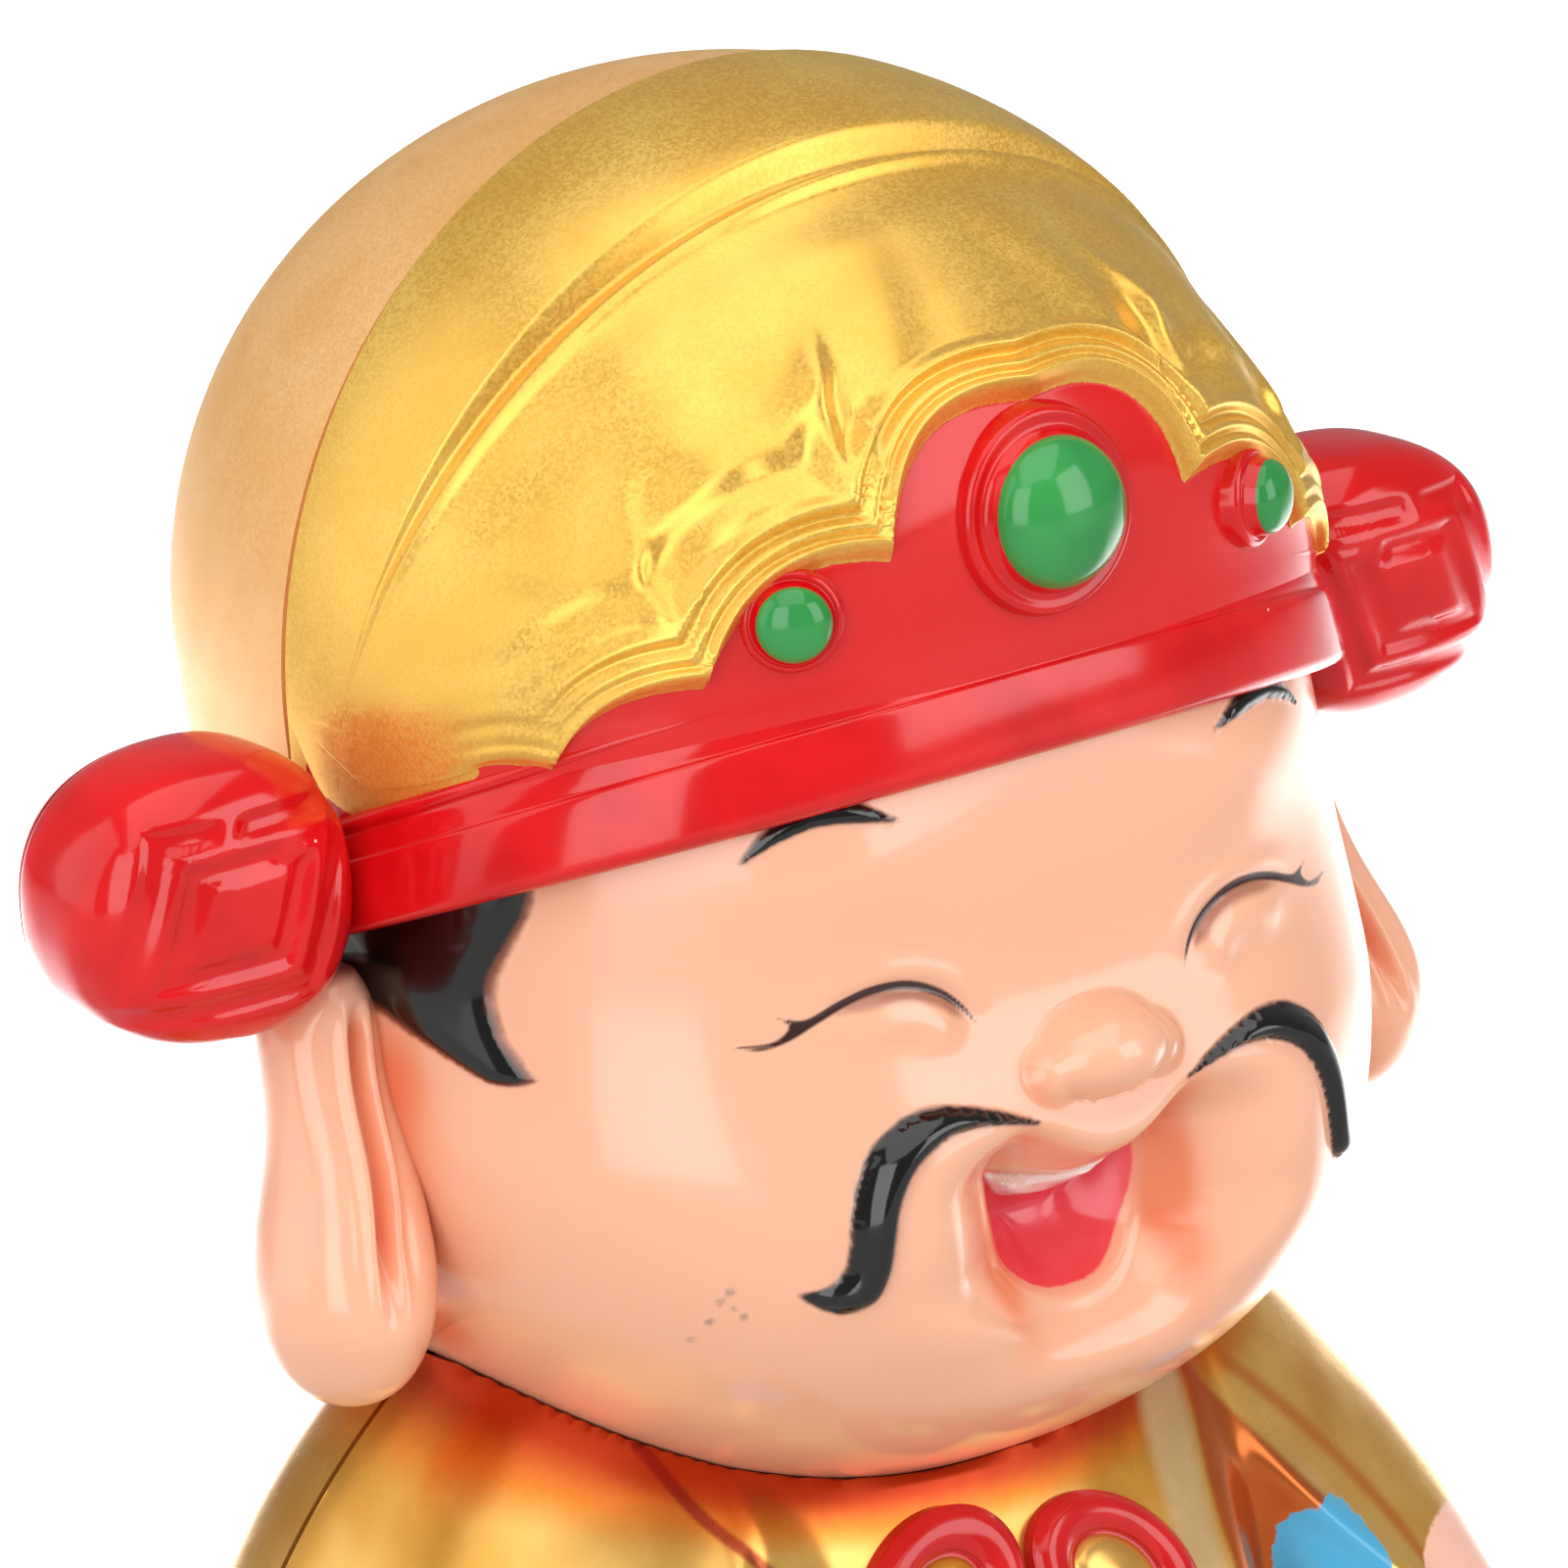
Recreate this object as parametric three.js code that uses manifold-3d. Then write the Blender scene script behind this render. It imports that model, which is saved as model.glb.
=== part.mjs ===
// A moulded plastic figure of a smiling wealth god in a gold hat, as a bust on a flat underside.
// Millimetres, +Z up, the figure faces -Y. Five mouldings: the head, the hat's front and back
// halves, and the body's front and back halves. The halves meet on one upright seam plane.
import * as THREE from "three";
import { mergeVertices } from "three/addons/utils/BufferGeometryUtils.js";
import Module from "manifold-3d";

const wasm = await Module();
wasm.setup();

// Where the mouldings meet
const headLevel = 52; // the head's own level, between the eyes and the mouth, above the underside
const seamY = -0.4; // the plane where the front and back halves meet
const seamGap = 0.3; // between the halves
const fitGap = 0.35; // between the head and the hat, and between the head and its neck
const cupGap = 1.6; // round the jaw, between the head and the body's collar

// The head, with levels counted from the head's own level
const headHalfWidth = 24.4;
const headFrontDepth = 23.1;
const headBackDepth = 21.5;
const widestLevel = -7.9;
const headRise = 38.7; // of the oval above the widest level
const headDrop = 21.6; // of the oval below it
const squareness = 2.5; // exponent of the ovals of the head and the hat in front, seen from above
const crownLevel = 11; // the flat on which the hat sits
const socketLevel = -12; // how far down the hat's socket is cut
const neckLevel = -28; // the flat on which the head stands
const jawReach = 5.2; // how far the jaw comes forward
const jawLevel = -20.5;
const jawSpread = 10.6;
const noseRadius = 3.4;
const noseLevel = -6;
const mouthHalfWidth = 4.1;
const mouthTopLevel = -11.4;
const mouthBottomLevel = -17;
const mouthDepth = 2.4;
const earDrop = 19; // the lobe's lowest point below the head's level
const earReach = 30.9; // the lobe's outermost point from the middle

// The hat
const hatLevel = 9.2; // centre of the dome
const hatHalfWidth = 23.7;
const hatHeight = 23.2;
const hatBackDepth = 26.5;
const hatFrontDepth = 24.2;
const fieldDepth = 22.2; // of the red field behind the gems
const bandHeight = 5.7; // of the brow band, in front
const bandHalfWidth = 24.9;
const bandFrontDepth = 22.9;
const bandBackDepth = 24.6;
const bandFrontLevel = 7; // of the band's lower edge, in front
const bandSlope = 0.345; // fall of the band from front to back
const gemRadius = 3.2;
const sideGemRadius = 1.6;
const sideGemX = 12;
const knotX = 30.2; // centre of each side knot from the middle
const knotLevel = 3.8;
const knotHalfWidth = 7.5;
const knotHalfHeight = 6.2;
const knotHalfDepth = 5.4;
const knotForward = 2.2; // of the knots' middle before the seam plane

// The body
const bodyHalfWidth = 33.2;
const bodyShift = 0.4; // of the body's middle to the figure's left of the head's
const bodyFrontDepth = 19;
const bodyBackDepth = 15.5;
const bodyLevel = -45; // the level where the robe is widest
const shoulderRise = 30.4; // of the shoulders' oval above that level
const shoulderRoundness = 1.8; // exponent of that oval, seen from the front
const shoulderSlant = 0.085; // fall of the body from the figure's right to its left, the head being cocked
const neckRadius = 6.5;
const hollowDepth = 3; // of the hollow between each sleeve and the chest
const rimHeight = 1.1; // of the sleeve's rim
const sleeveSwell = 5.5;
const handSwell = 1.2;
const chestSwell = 0.8;
const emblemRadius = 4.1; // of each lobe of the ornament on the chest
const emblemShift = -1.2; // of the ornament's middle
const emblemX = 4.7; // of each lobe from there
const emblemLevel = -31.4;

const clamp = (value, low, high) => Math.min(high, Math.max(low, value));
const bell = (distance, width) => Math.exp(-((distance / width) ** 2));
const mix = THREE.MathUtils.lerp;

// Smooth rise from 0 at one value to 1 at another.
function rise(value, from, to) {
  const t = clamp((value - from) / (to - from), 0, 1);
  return t * t * (3 - 2 * t);
}

// A place on an oval seen from above, at a bearing from straight ahead: sideways, then forward.
function planOval(bearing, halfWidth, frontDepth, backDepth) {
  const sine = Math.sin(bearing);
  const cosine = Math.cos(bearing);
  const depth = cosine > 0 ? frontDepth : backDepth;
  const power = cosine > 0 ? squareness : 2;
  const sum = (Math.abs(sine) / halfWidth) ** power + (Math.abs(cosine) / depth) ** power;
  const reach = sum ** (-1 / power);
  return [reach * sine, reach * cosine];
}

// Solids

// A manifold from points and triangles, turned so that its faces point out.
function manifoldFrom(points, faces) {
  let volume = 0;
  for (const [a, b, c] of faces) {
    volume += points[a].dot(new THREE.Vector3().crossVectors(points[b], points[c]));
  }
  const outward = volume > 0 ? faces : faces.map(([a, b, c]) => [a, c, b]);
  const vertProperties = new Float32Array(points.flatMap((p) => [p.x, p.y, p.z]));
  const triVerts = new Uint32Array(outward.flat());
  return new wasm.Manifold(new wasm.Mesh({ numProp: 3, vertProperties, triVerts }));
}

// A closed solid from rings of points, each joined to the next, with a point closing each end.
function ringSolid(first, rings, last) {
  const count = rings[0].length;
  const points = [first, ...rings.flat(), last];
  const at = (ring, i) => 1 + ring * count + (i % count);
  const end = points.length - 1;
  const faces = [];
  for (let i = 0; i < count; i++) {
    faces.push([0, at(0, i + 1), at(0, i)]);
    faces.push([end, at(rings.length - 1, i), at(rings.length - 1, i + 1)]);
    for (let ring = 1; ring < rings.length; ring++) {
      const corners = [at(ring - 1, i), at(ring - 1, i + 1), at(ring, i + 1), at(ring, i)];
      faces.push([corners[0], corners[1], corners[2]], [corners[0], corners[2], corners[3]]);
    }
  }
  return manifoldFrom(points, faces);
}

// A closed geometry as a manifold, moved by a matrix.
function geometrySolid(geometry, matrix = new THREE.Matrix4()) {
  const bare = geometry.clone();
  bare.deleteAttribute("normal");
  bare.deleteAttribute("uv");
  const merged = mergeVertices(bare.applyMatrix4(matrix));
  const place = merged.getAttribute("position");
  const points = [];
  for (let i = 0; i < place.count; i++) points.push(new THREE.Vector3().fromBufferAttribute(place, i));
  const faces = [];
  const index = merged.index.array;
  for (let i = 0; i < index.length; i += 3) faces.push([index[i], index[i + 1], index[i + 2]]);
  return manifoldFrom(points, faces);
}

// An oval ball.
function ball(x, y, z, radiusX, radiusY, radiusZ, around = 12, along = 8) {
  const matrix = new THREE.Matrix4().makeTranslation(x, y, z);
  matrix.multiply(new THREE.Matrix4().makeRotationX(Math.PI / 2));
  matrix.multiply(new THREE.Matrix4().makeScale(radiusX, radiusZ, radiusY));
  return geometrySolid(new THREE.SphereGeometry(1, around, along), matrix);
}

// A long round-ended ridge: rings of an oval section, given by its middle and its three half sizes.
function ridge(stations, around) {
  const rings = stations.slice(1, -1).map(({ middle, across, out }) =>
    Array.from({ length: around }, (_, i) => {
      const turn = (2 * Math.PI * i) / around;
      return middle
        .clone()
        .addScaledVector(across, Math.cos(turn))
        .addScaledVector(out, Math.sin(turn));
    }),
  );
  return ringSolid(stations[0].middle, rings, stations.at(-1).middle);
}

// Everything in front of the seam, or behind it.
const far = 4 * bodyHalfWidth;
function halfSpace(side) {
  const box = new THREE.BoxGeometry(far, far, far);
  const offset = seamY + side * (seamGap / 2 + far / 2);
  return geometrySolid(box, new THREE.Matrix4().makeTranslation(0, offset, 0));
}

// Everything above a plane that crosses the middle at a level and falls towards the back.
function aboveSpace(level, slope = 0) {
  const box = new THREE.BoxGeometry(far, far, far);
  const matrix = new THREE.Matrix4().makeTranslation(0, 0, level);
  matrix.multiply(new THREE.Matrix4().makeRotationX(-Math.atan(slope)));
  matrix.multiply(new THREE.Matrix4().makeTranslation(0, 0, far / 2));
  return geometrySolid(box, matrix);
}

const joined = (solids) => solids.reduce((all, one) => all.add(one));
const mirrored = (make) => [make(-1), make(1)];

// The head

// Share of the head's full plan left at a level.
function headTaper(level) {
  const above = level > widestLevel;
  const reach = above ? headRise : headDrop;
  const exponent = above ? 2.2 : 1.85;
  const part = clamp(Math.abs(level - widestLevel) / reach, 0, 1);
  return (1 - part ** exponent) ** (1 / exponent);
}

// Relief of the face, outward, at a place seen from the front.
function faceRelief(x, level) {
  const side = Math.abs(x);
  const eyeHollow = -1.1 * bell(level + 3, 4.5) * bell(x, 13);
  const smileWindow = rise(level, -19.5, -16.5) * (1 - rise(level, -11.5, -8.5));
  const smileHollow = -4.2 * Math.exp(-((x / 5) ** 4)) * smileWindow;
  const cheek = 0.9 * bell(side - 9.5, 4) * bell(level + 10.5, 4.5);
  const chinDimple = -0.8 * bell(level + 18.6, 1.4) * bell(x, 8);
  const browRidge = 0.8 * bell(side - 11.5, 4.5) * bell(level - 4, 3);
  return eyeHollow + smileHollow + cheek + chinDimple + browRidge;
}

// A point of the head's skin at a bearing from straight ahead, grown outward by a clearance.
function headPoint(bearing, level, grow = 0) {
  const sine = Math.sin(bearing);
  const cosine = Math.cos(bearing);
  const nape = headBackDepth * mix(0.62, 1, rise(level, -16, 2));
  const [across, ahead] = planOval(bearing, headHalfWidth, headFrontDepth, nape);
  const taper = headTaper(level);
  const temple = 1 - 0.03 * rise(level, -9, 0);
  const x = across * taper * temple;
  const jaw = jawReach * bell(level - jawLevel, jawSpread) * Math.max(cosine, 0);
  const relief = faceRelief(x, level) * rise(cosine, 0.1, 0.5);
  const reach = ahead * taper + jaw + relief + grow * cosine;
  return new THREE.Vector3(x + grow * sine, seamY - reach, level);
}

// The head's skin between two levels, by default from the neck flat up to the crown flat.
function headForm(grow, around = 40, along = 20, lowest = neckLevel, highest = crownLevel) {
  const rings = [];
  for (let row = 0; row <= along; row++) {
    const level = mix(lowest, highest, row / along);
    const shifted = row === 0 ? level - grow : row === along ? level + grow : level;
    const ring = Array.from({ length: around }, (_, i) => {
      const turn = (2 * i) / around - 1;
      const bearing = Math.PI * (0.72 * turn + 0.28 * turn ** 3);
      return headPoint(bearing, level, grow).setZ(shifted);
    });
    rings.push(ring);
  }
  const end = (ring) => new THREE.Vector3(0, seamY, ring[0].z);
  return ringSolid(end(rings[0]), rings, end(rings.at(-1)));
}

// The face's skin straight ahead of a place, as a depth along Y.
function faceY(x, level) {
  let low = 0;
  let high = (Math.sign(x) || 1) * 1.5;
  for (let step = 0; step < 30; step++) {
    const middle = (low + high) / 2;
    if (Math.abs(headPoint(middle, level).x) < Math.abs(x)) low = middle;
    else high = middle;
  }
  return headPoint(low, level).y;
}

// A raised stroke that follows the face along a curve of (x, level) points, with its half width.
function faceStroke(points, halfWidth, height, steps, around) {
  const route = new THREE.CatmullRomCurve3(points.map(([x, level]) => new THREE.Vector3(x, 0, level)));
  const stations = Array.from({ length: steps + 1 }, (_, step) => {
    const t = step / steps;
    const flat = route.getPointAt(t);
    const along = route.getTangentAt(t);
    const width = halfWidth(t);
    const middle = new THREE.Vector3(flat.x, faceY(flat.x, flat.z) + 0.2, flat.z);
    const lean = flat.x / headHalfWidth;
    const out = new THREE.Vector3(lean, -Math.sqrt(1 - lean * lean), 0).multiplyScalar(height + 0.3);
    const across = new THREE.Vector3().crossVectors(along, out).setLength(width);
    return { middle, across, out };
  });
  return ridge(stations, around);
}

function moustache(side) {
  const route = [
    [3.9, -8.3],
    [6.2, -7.7],
    [9.0, -7.4],
    [11.3, -8.3],
    [12.1, -10.4],
    [12.3, -12.4],
    [13.2, -13.9],
    [14.9, -13.7],
  ];
  const width = (t) => 0.25 + 0.95 * Math.sin(Math.PI * clamp(t, 0, 1) ** 0.85);
  return faceStroke(route.map(([x, level]) => [side * x, level]), width, 0.8, 12, 6);
}

function brow(side) {
  const route = [
    [8.4, 4.6],
    [10.2, 5.4],
    [12.1, 5.6],
    [14, 5],
    [15.4, 3.9],
  ];
  const width = (t) => 0.2 + 0.45 * Math.sin(Math.PI * t);
  return faceStroke(route.map(([x, level]) => [side * x, level]), width, 0.3, 8, 6);
}

// The open mouth: a round-bottomed plug to cut from the face.
function mouthPlug() {
  const outline = new THREE.Shape();
  outline.moveTo(-mouthHalfWidth, mouthTopLevel + 0.7);
  outline.quadraticCurveTo(0, mouthTopLevel - 1.4, mouthHalfWidth, mouthTopLevel + 0.7);
  outline.bezierCurveTo(
    mouthHalfWidth,
    mix(mouthTopLevel, mouthBottomLevel, 0.6),
    mouthHalfWidth * 0.55,
    mouthBottomLevel,
    0,
    mouthBottomLevel,
  );
  outline.bezierCurveTo(
    -mouthHalfWidth * 0.55,
    mouthBottomLevel,
    -mouthHalfWidth,
    mix(mouthTopLevel, mouthBottomLevel, 0.6),
    -mouthHalfWidth,
    mouthTopLevel + 0.7,
  );
  const skin = faceY(0, (mouthTopLevel + mouthBottomLevel) / 2);
  const depth = headFrontDepth;
  const plug = new THREE.ExtrudeGeometry(outline, { depth, bevelEnabled: false, curveSegments: 5 });
  const matrix = new THREE.Matrix4().makeTranslation(0, skin + mouthDepth, 0);
  return geometrySolid(plug, matrix.multiply(new THREE.Matrix4().makeRotationX(Math.PI / 2)));
}

// A long ear whose lobe hangs beside the jaw, its rim raised round a shallow bowl.
function ear(side, grow = 0, around = 10, along = 9) {
  const top = -1 + grow;
  const bottom = -earDrop - grow;
  const rings = Array.from({ length: along }, (_, row) => {
    const t = (row + 0.5) / along;
    const level = mix(top, bottom, t);
    const round = Math.sqrt(1 - clamp(t, 0, 1) ** 7) * Math.sqrt(rise(t, -0.1, 0.16));
    const half = mix(2.6, 3.9, rise(t, 0.25, 0.8)) * round + grow;
    const middle = earReach - 3.9 - 1.8 * (1 - rise(t, 0, 0.6)) - 0.7 * bell(t - 0.45, 0.2);
    const forward = mix(3, 5.7, rise(t, 0.05, 0.7));
    const depth = mix(3, 4.9, rise(t, 0.1, 0.8)) * round + grow;
    return Array.from({ length: around }, (_, i) => {
      const turn = (2 * Math.PI * i) / around;
      const bowl = 1 - 0.35 * bell(turn - 1.5 * Math.PI, 0.55) * rise(t, 0.05, 0.25) * (1 - rise(t, 0.6, 0.8));
      const x = side * (middle + half * Math.cos(turn));
      return new THREE.Vector3(x, seamY - forward + depth * bowl * Math.sin(turn), level);
    });
  });
  const cap = (level, ring) =>
    new THREE.Vector3((ring[0].x + ring[around / 2].x) / 2, (ring[0].y + ring[around / 2].y) / 2, level);
  return ringSolid(cap(top, rings[0]), rings, cap(bottom, rings.at(-1)));
}

function headSolid() {
  const noseY = faceY(0, noseLevel) + 0.9;
  const parts = [
    headForm(0),
    ball(0, noseY, noseLevel, noseRadius * 1.09, noseRadius, noseRadius * 0.71),
    ...mirrored((side) => ball(side * 3.1, noseY + 0.5, noseLevel - 0.7, 1.7, 2, 1.6, 8, 5)),
    ...mirrored((side) => ear(side)),
    ...mirrored(moustache),
    ...mirrored(brow),
  ];
  return joined(parts).subtract(mouthPlug());
}

// The hat

// Level of the band's lower edge at a depth along Y.
const bandFloor = (y) => bandFrontLevel - bandSlope * (y + bandFrontDepth - seamY);

// Section of the hat's front at a sideways place, as a distance from the dome's centre at an angle
// up from straight ahead: the gold cloth, which bulges over the brow, and the red field in it.
function clothReach(angle, x) {
  const oval = 1 / Math.hypot(Math.cos(angle) / hatFrontDepth, Math.sin(angle) / hatHeight);
  const degrees = THREE.MathUtils.radToDeg(angle);
  const bulge = 1.3 * bell(degrees - 31, 13) * bell(x, 12);
  const pinch = 1.1 * bell(degrees - 40, 15) * bell(Math.abs(x) - 19, 4);
  return oval - 0.5 * (1 - rise(degrees, 8, 28)) + bulge - pinch;
}

const fieldReach = (angle) => fieldDepth + 2 * rise(THREE.MathUtils.radToDeg(angle), 6, 32);

// The two lines of the arch lie on planes that fan out from the top of the side knots.
const archRootY = -4.3;
const archRootLevel = 9.3;
const archEdgeSlope = 0.2315;
const archCreaseSlope = 0.36;

// The scalloped hem of the cloth: its cusps, from the middle outward, and each lobe's rise.
const cusps = [
  [0, 21.8],
  [7.6, 16.5],
  [15.4, 12.2],
  [20.2, 8.8],
];
const lobeRises = [2.3, 2, 1.2];

// Stations along the hem, from the middle to the last cusp: the sideways place and the level.
function hemStations(perLobe) {
  const stations = [];
  for (let lobe = 0; lobe < lobeRises.length; lobe++) {
    const [startX, startLevel] = cusps[lobe];
    const [endX, endLevel] = cusps[lobe + 1];
    const length = Math.hypot(endX - startX, endLevel - startLevel);
    for (let step = 0; step < perLobe; step++) {
      const t = step / perLobe;
      const swell = lobeRises[lobe] * (1 - (2 * t - 1) ** 2);
      const x = mix(startX, endX, t) + (swell * (startLevel - endLevel)) / length;
      const level = mix(startLevel, endLevel, t) + (swell * (endX - startX)) / length;
      stations.push([x, level]);
    }
  }
  stations.push(cusps.at(-1));
  return stations;
}

// The angle in a section at which a rising test first holds.
function angleWhere(test, from, to) {
  let low = from;
  let high = to;
  for (let step = 0; step < 30; step++) {
    const middle = (low + high) / 2;
    if (test(middle)) high = middle;
    else low = middle;
  }
  return high;
}

// A place on the hat's front: sideways, the angle up from straight ahead, and the middle
// section's reach at that angle. The hat is round from the front and squarer from above.
function frontPoint(x, angle, reach) {
  const part = Math.abs(x) / hatHalfWidth;
  const rounded = Math.sqrt(1 - part ** 2);
  const power = mix(squareness, 2, rise(THREE.MathUtils.radToDeg(angle), 12, 50));
  const squared = (1 - part ** power) ** (1 / power);
  return new THREE.Vector3(
    x,
    seamY - squared * reach * Math.cos(angle),
    hatLevel + rounded * reach * Math.sin(angle),
  );
}

// One section of the hat's front, at a sideways place, from the top seam forward and down.
function frontSection(x, hemLevel) {
  const scale = Math.sqrt(1 - (x / hatHalfWidth) ** 2);
  const along = (angle, reach) => frontPoint(x, angle, reach);
  const pastPlane = (slope) => (angle) => {
    const p = along(angle, clothReach(angle, x));
    return p.y > archRootY - slope * (p.z - archRootLevel);
  };
  const quarter = Math.PI / 2;
  const edge = angleWhere(pastPlane(archEdgeSlope), 0, quarter);
  const crease = angleWhere(pastPlane(archCreaseSlope), 0, quarter);
  const hem = angleWhere((angle) => along(angle, clothReach(angle, x)).z > hemLevel, -0.6, crease);
  const width = clamp((edge - crease) * scale * 12, 0, 1);
  const strip = (angle) => clothReach(angle, x) + 0.3;
  const points = [];
  for (let i = 0; i <= 2; i++) {
    const angle = mix(quarter, edge, i / 2);
    points.push(along(angle, strip(angle)));
  }
  for (const [share, depth] of [
    [0.2, -0.2],
    [0.45, -0.9],
    [0.75, -0.7],
    [1, 0.15],
  ]) {
    const angle = mix(edge, crease, share);
    points.push(along(angle, clothReach(angle, x) + depth * width));
  }
  const steps = 6;
  const fold = clothFold(x);
  for (let i = 1; i <= steps; i++) {
    const angle = mix(crease, hem, i / steps);
    const near = 1 - clamp(((angle - hem) * scale) / 0.4, 0, 1);
    points.push(along(angle, clothReach(angle, x) + fold * near * rise(i / steps, 0, 0.6)));
  }
  const floor = bandFloor(points.at(-1).y) + bandHeight * 0.6;
  const low = angleWhere((angle) => along(angle, fieldReach(angle)).z > floor, -1.2, hem - 0.05);
  for (let i = 0; i <= 2; i++) {
    const angle = mix(hem - 0.02, Math.min(low, hem - 0.05), i / 2);
    points.push(along(angle, Math.min(fieldReach(angle), clothReach(angle, x) - 0.4)));
  }
  points.push(along(-quarter * 0.75, hatHeight * 0.8));
  points.push(along(-quarter, hatHeight * 0.8));
  return points;
}

// The gathers that run up from each cusp: a crest with a dark hollow on both sides.
function clothFold(x) {
  return cusps.slice(1, 3).reduce((sum, [place]) => {
    const away = Math.abs(x) - place;
    return sum + 0.7 * bell(away, 0.8) - 0.9 * bell(Math.abs(away) - 2.2, 1.3);
  }, 0);
}

function domeFront() {
  const half = hemStations(5);
  const outer = half.at(-1)[0];
  for (const share of [0.35, 0.6, 0.8, 0.93]) {
    const x = mix(outer, hatHalfWidth, share);
    half.push([x, bandFloor(frontPoint(x, 0, fieldDepth).y) + bandHeight]);
  }
  const sections = [
    ...half.slice(1).reverse().map(([x, level]) => frontSection(-x, level)),
    ...half.map(([x, level]) => frontSection(x, level)),
  ];
  const pole = (side) => new THREE.Vector3(side * hatHalfWidth, seamY - seamGap / 2, hatLevel);
  for (const section of sections) {
    for (const p of section) p.y = Math.min(p.y, seamY - seamGap / 2);
  }
  return ringSolid(pole(-1), sections, pole(1));
}

function domeBack() {
  const dome = new THREE.SphereGeometry(1, 26, 14);
  const matrix = new THREE.Matrix4().makeTranslation(0, seamY, hatLevel);
  matrix.multiply(new THREE.Matrix4().makeScale(hatHalfWidth, hatBackDepth, hatHeight));
  matrix.multiply(new THREE.Matrix4().makeRotationZ(Math.PI / 2));
  return geometrySolid(dome, matrix);
}

const bandOval = (bearing, out) =>
  planOval(bearing, bandHalfWidth + out, bandFrontDepth + out, bandBackDepth + out);

// The hat's wall between the dome and the band.
function skirt(around = 40) {
  const ring = (share) =>
    Array.from({ length: around }, (_, i) => {
      const bearing = (2 * Math.PI * i) / around;
      const side = hatHalfWidth - 0.3 * share;
      const [x, ahead] = planOval(bearing, side, fieldDepth, mix(hatBackDepth, bandBackDepth - 1, share));
      return new THREE.Vector3(x, seamY - ahead, mix(hatLevel, bandFloor(seamY - ahead) + 1, share));
    });
  const end = (level) => new THREE.Vector3(0, seamY, level);
  return ringSolid(end(bandFloor(seamY)), [ring(1), ring(0)], end(hatLevel));
}

// The red brow band: a flaring face with rounded edges.
function band(around = 40) {
  const profile = [
    [-2.5, 0],
    [-0.4, 0],
    [0, 0.08],
    [-0.45, 0.6],
    [-0.75, 0.95],
    [-1.1, 1.05],
    [-2.5, 1.05],
  ];
  const rings = profile.map(([out, share]) =>
    Array.from({ length: around }, (_, i) => {
      const bearing = (2 * Math.PI * i) / around;
      const height = bandHeight * mix(1, 0.84, rise(-Math.cos(bearing), -1, 0));
      const y = seamY - bandOval(bearing, out)[1];
      return new THREE.Vector3(bandOval(bearing, out)[0], y, bandFloor(y) + height * share);
    }),
  );
  const end = (share) => new THREE.Vector3(0, seamY, bandFloor(seamY) + bandHeight * share);
  return ringSolid(end(0), rings, end(1));
}

// A pillow-shaped knot that stands out from each side of the hat.
function knot(side, around = 18, along = 7) {
  const superCosine = (angle, power) => Math.sign(Math.cos(angle)) * Math.abs(Math.cos(angle)) ** power;
  const superSine = (angle, power) => Math.sign(Math.sin(angle)) * Math.abs(Math.sin(angle)) ** power;
  const rings = Array.from({ length: along }, (_, row) => {
    const lean = Math.PI * ((row + 1) / (along + 1) - 0.5);
    return Array.from({ length: around }, (_, i) => {
      const turn = (2 * Math.PI * i) / around;
      const x = knotHalfWidth * superCosine(turn, 0.78) * superCosine(lean, 0.75);
      const z = knotHalfHeight * superSine(turn, 0.78) * superCosine(lean, 0.75);
      const y = seamY - knotForward + knotHalfDepth * superSine(lean, 0.85);
      return new THREE.Vector3(side * (knotX + x), y, knotLevel + z);
    });
  });
  const end = (sign) =>
    new THREE.Vector3(side * knotX, seamY - knotForward + sign * knotHalfDepth, knotLevel);
  return ringSolid(end(-1), rings, end(1));
}

// A gem in its raised seat, both round, on the red field.
function gem(x, angle, radius) {
  const reach = fieldReach(angle);
  const middle = frontPoint(x, angle, reach);
  const outward = new THREE.Vector3(
    x / hatHalfWidth ** 2,
    (middle.y - seamY) / reach ** 2,
    (0.25 * (middle.z - hatLevel)) / reach ** 2,
  ).normalize();
  const profile = [
    [0, -2],
    [1.35 * radius, -2],
    [1.28 * radius, 0.35],
    [1.1 * radius, 0.6],
    [0.98 * radius, 0.4],
    [0.85 * radius, 0.75 * radius * 0.6],
    [0.5 * radius, 0.75 * radius * 0.93],
    [0, 0.75 * radius],
  ];
  const lathe = new THREE.LatheGeometry(
    profile.map(([out, height]) => new THREE.Vector2(out, height)),
    radius > sideGemRadius ? 16 : 10,
  );
  const turn = new THREE.Quaternion().setFromUnitVectors(new THREE.Vector3(0, 1, 0), outward);
  return geometrySolid(lathe, new THREE.Matrix4().compose(middle, turn, new THREE.Vector3(1, 1, 1)));
}

function hatSolids() {
  const crown = headForm(fitGap, 40, 8, socketLevel, crownLevel);
  const socket = joined([crown, ...mirrored((side) => ear(side, fitGap))]);
  const ring = band();
  const wall = skirt();
  const knots = mirrored(knot);
  const over = aboveSpace(bandFloor(0), bandSlope);
  const centreAngle = THREE.MathUtils.degToRad(19.5);
  const sideAngle = THREE.MathUtils.degToRad(16.5);
  const sideGems = mirrored((side) => gem(side * sideGemX, sideAngle, sideGemRadius));
  const gems = [gem(0, centreAngle, gemRadius), ...sideGems];
  const half = (dome, side, extras) => {
    const shell = dome.add(wall).intersect(over).add(ring);
    return joined([shell, ...knots, ...extras]).intersect(halfSpace(side)).subtract(socket);
  };
  return { front: half(domeFront(), -1, gems), back: half(domeBack(), 1, []) };
}

// The body

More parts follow.
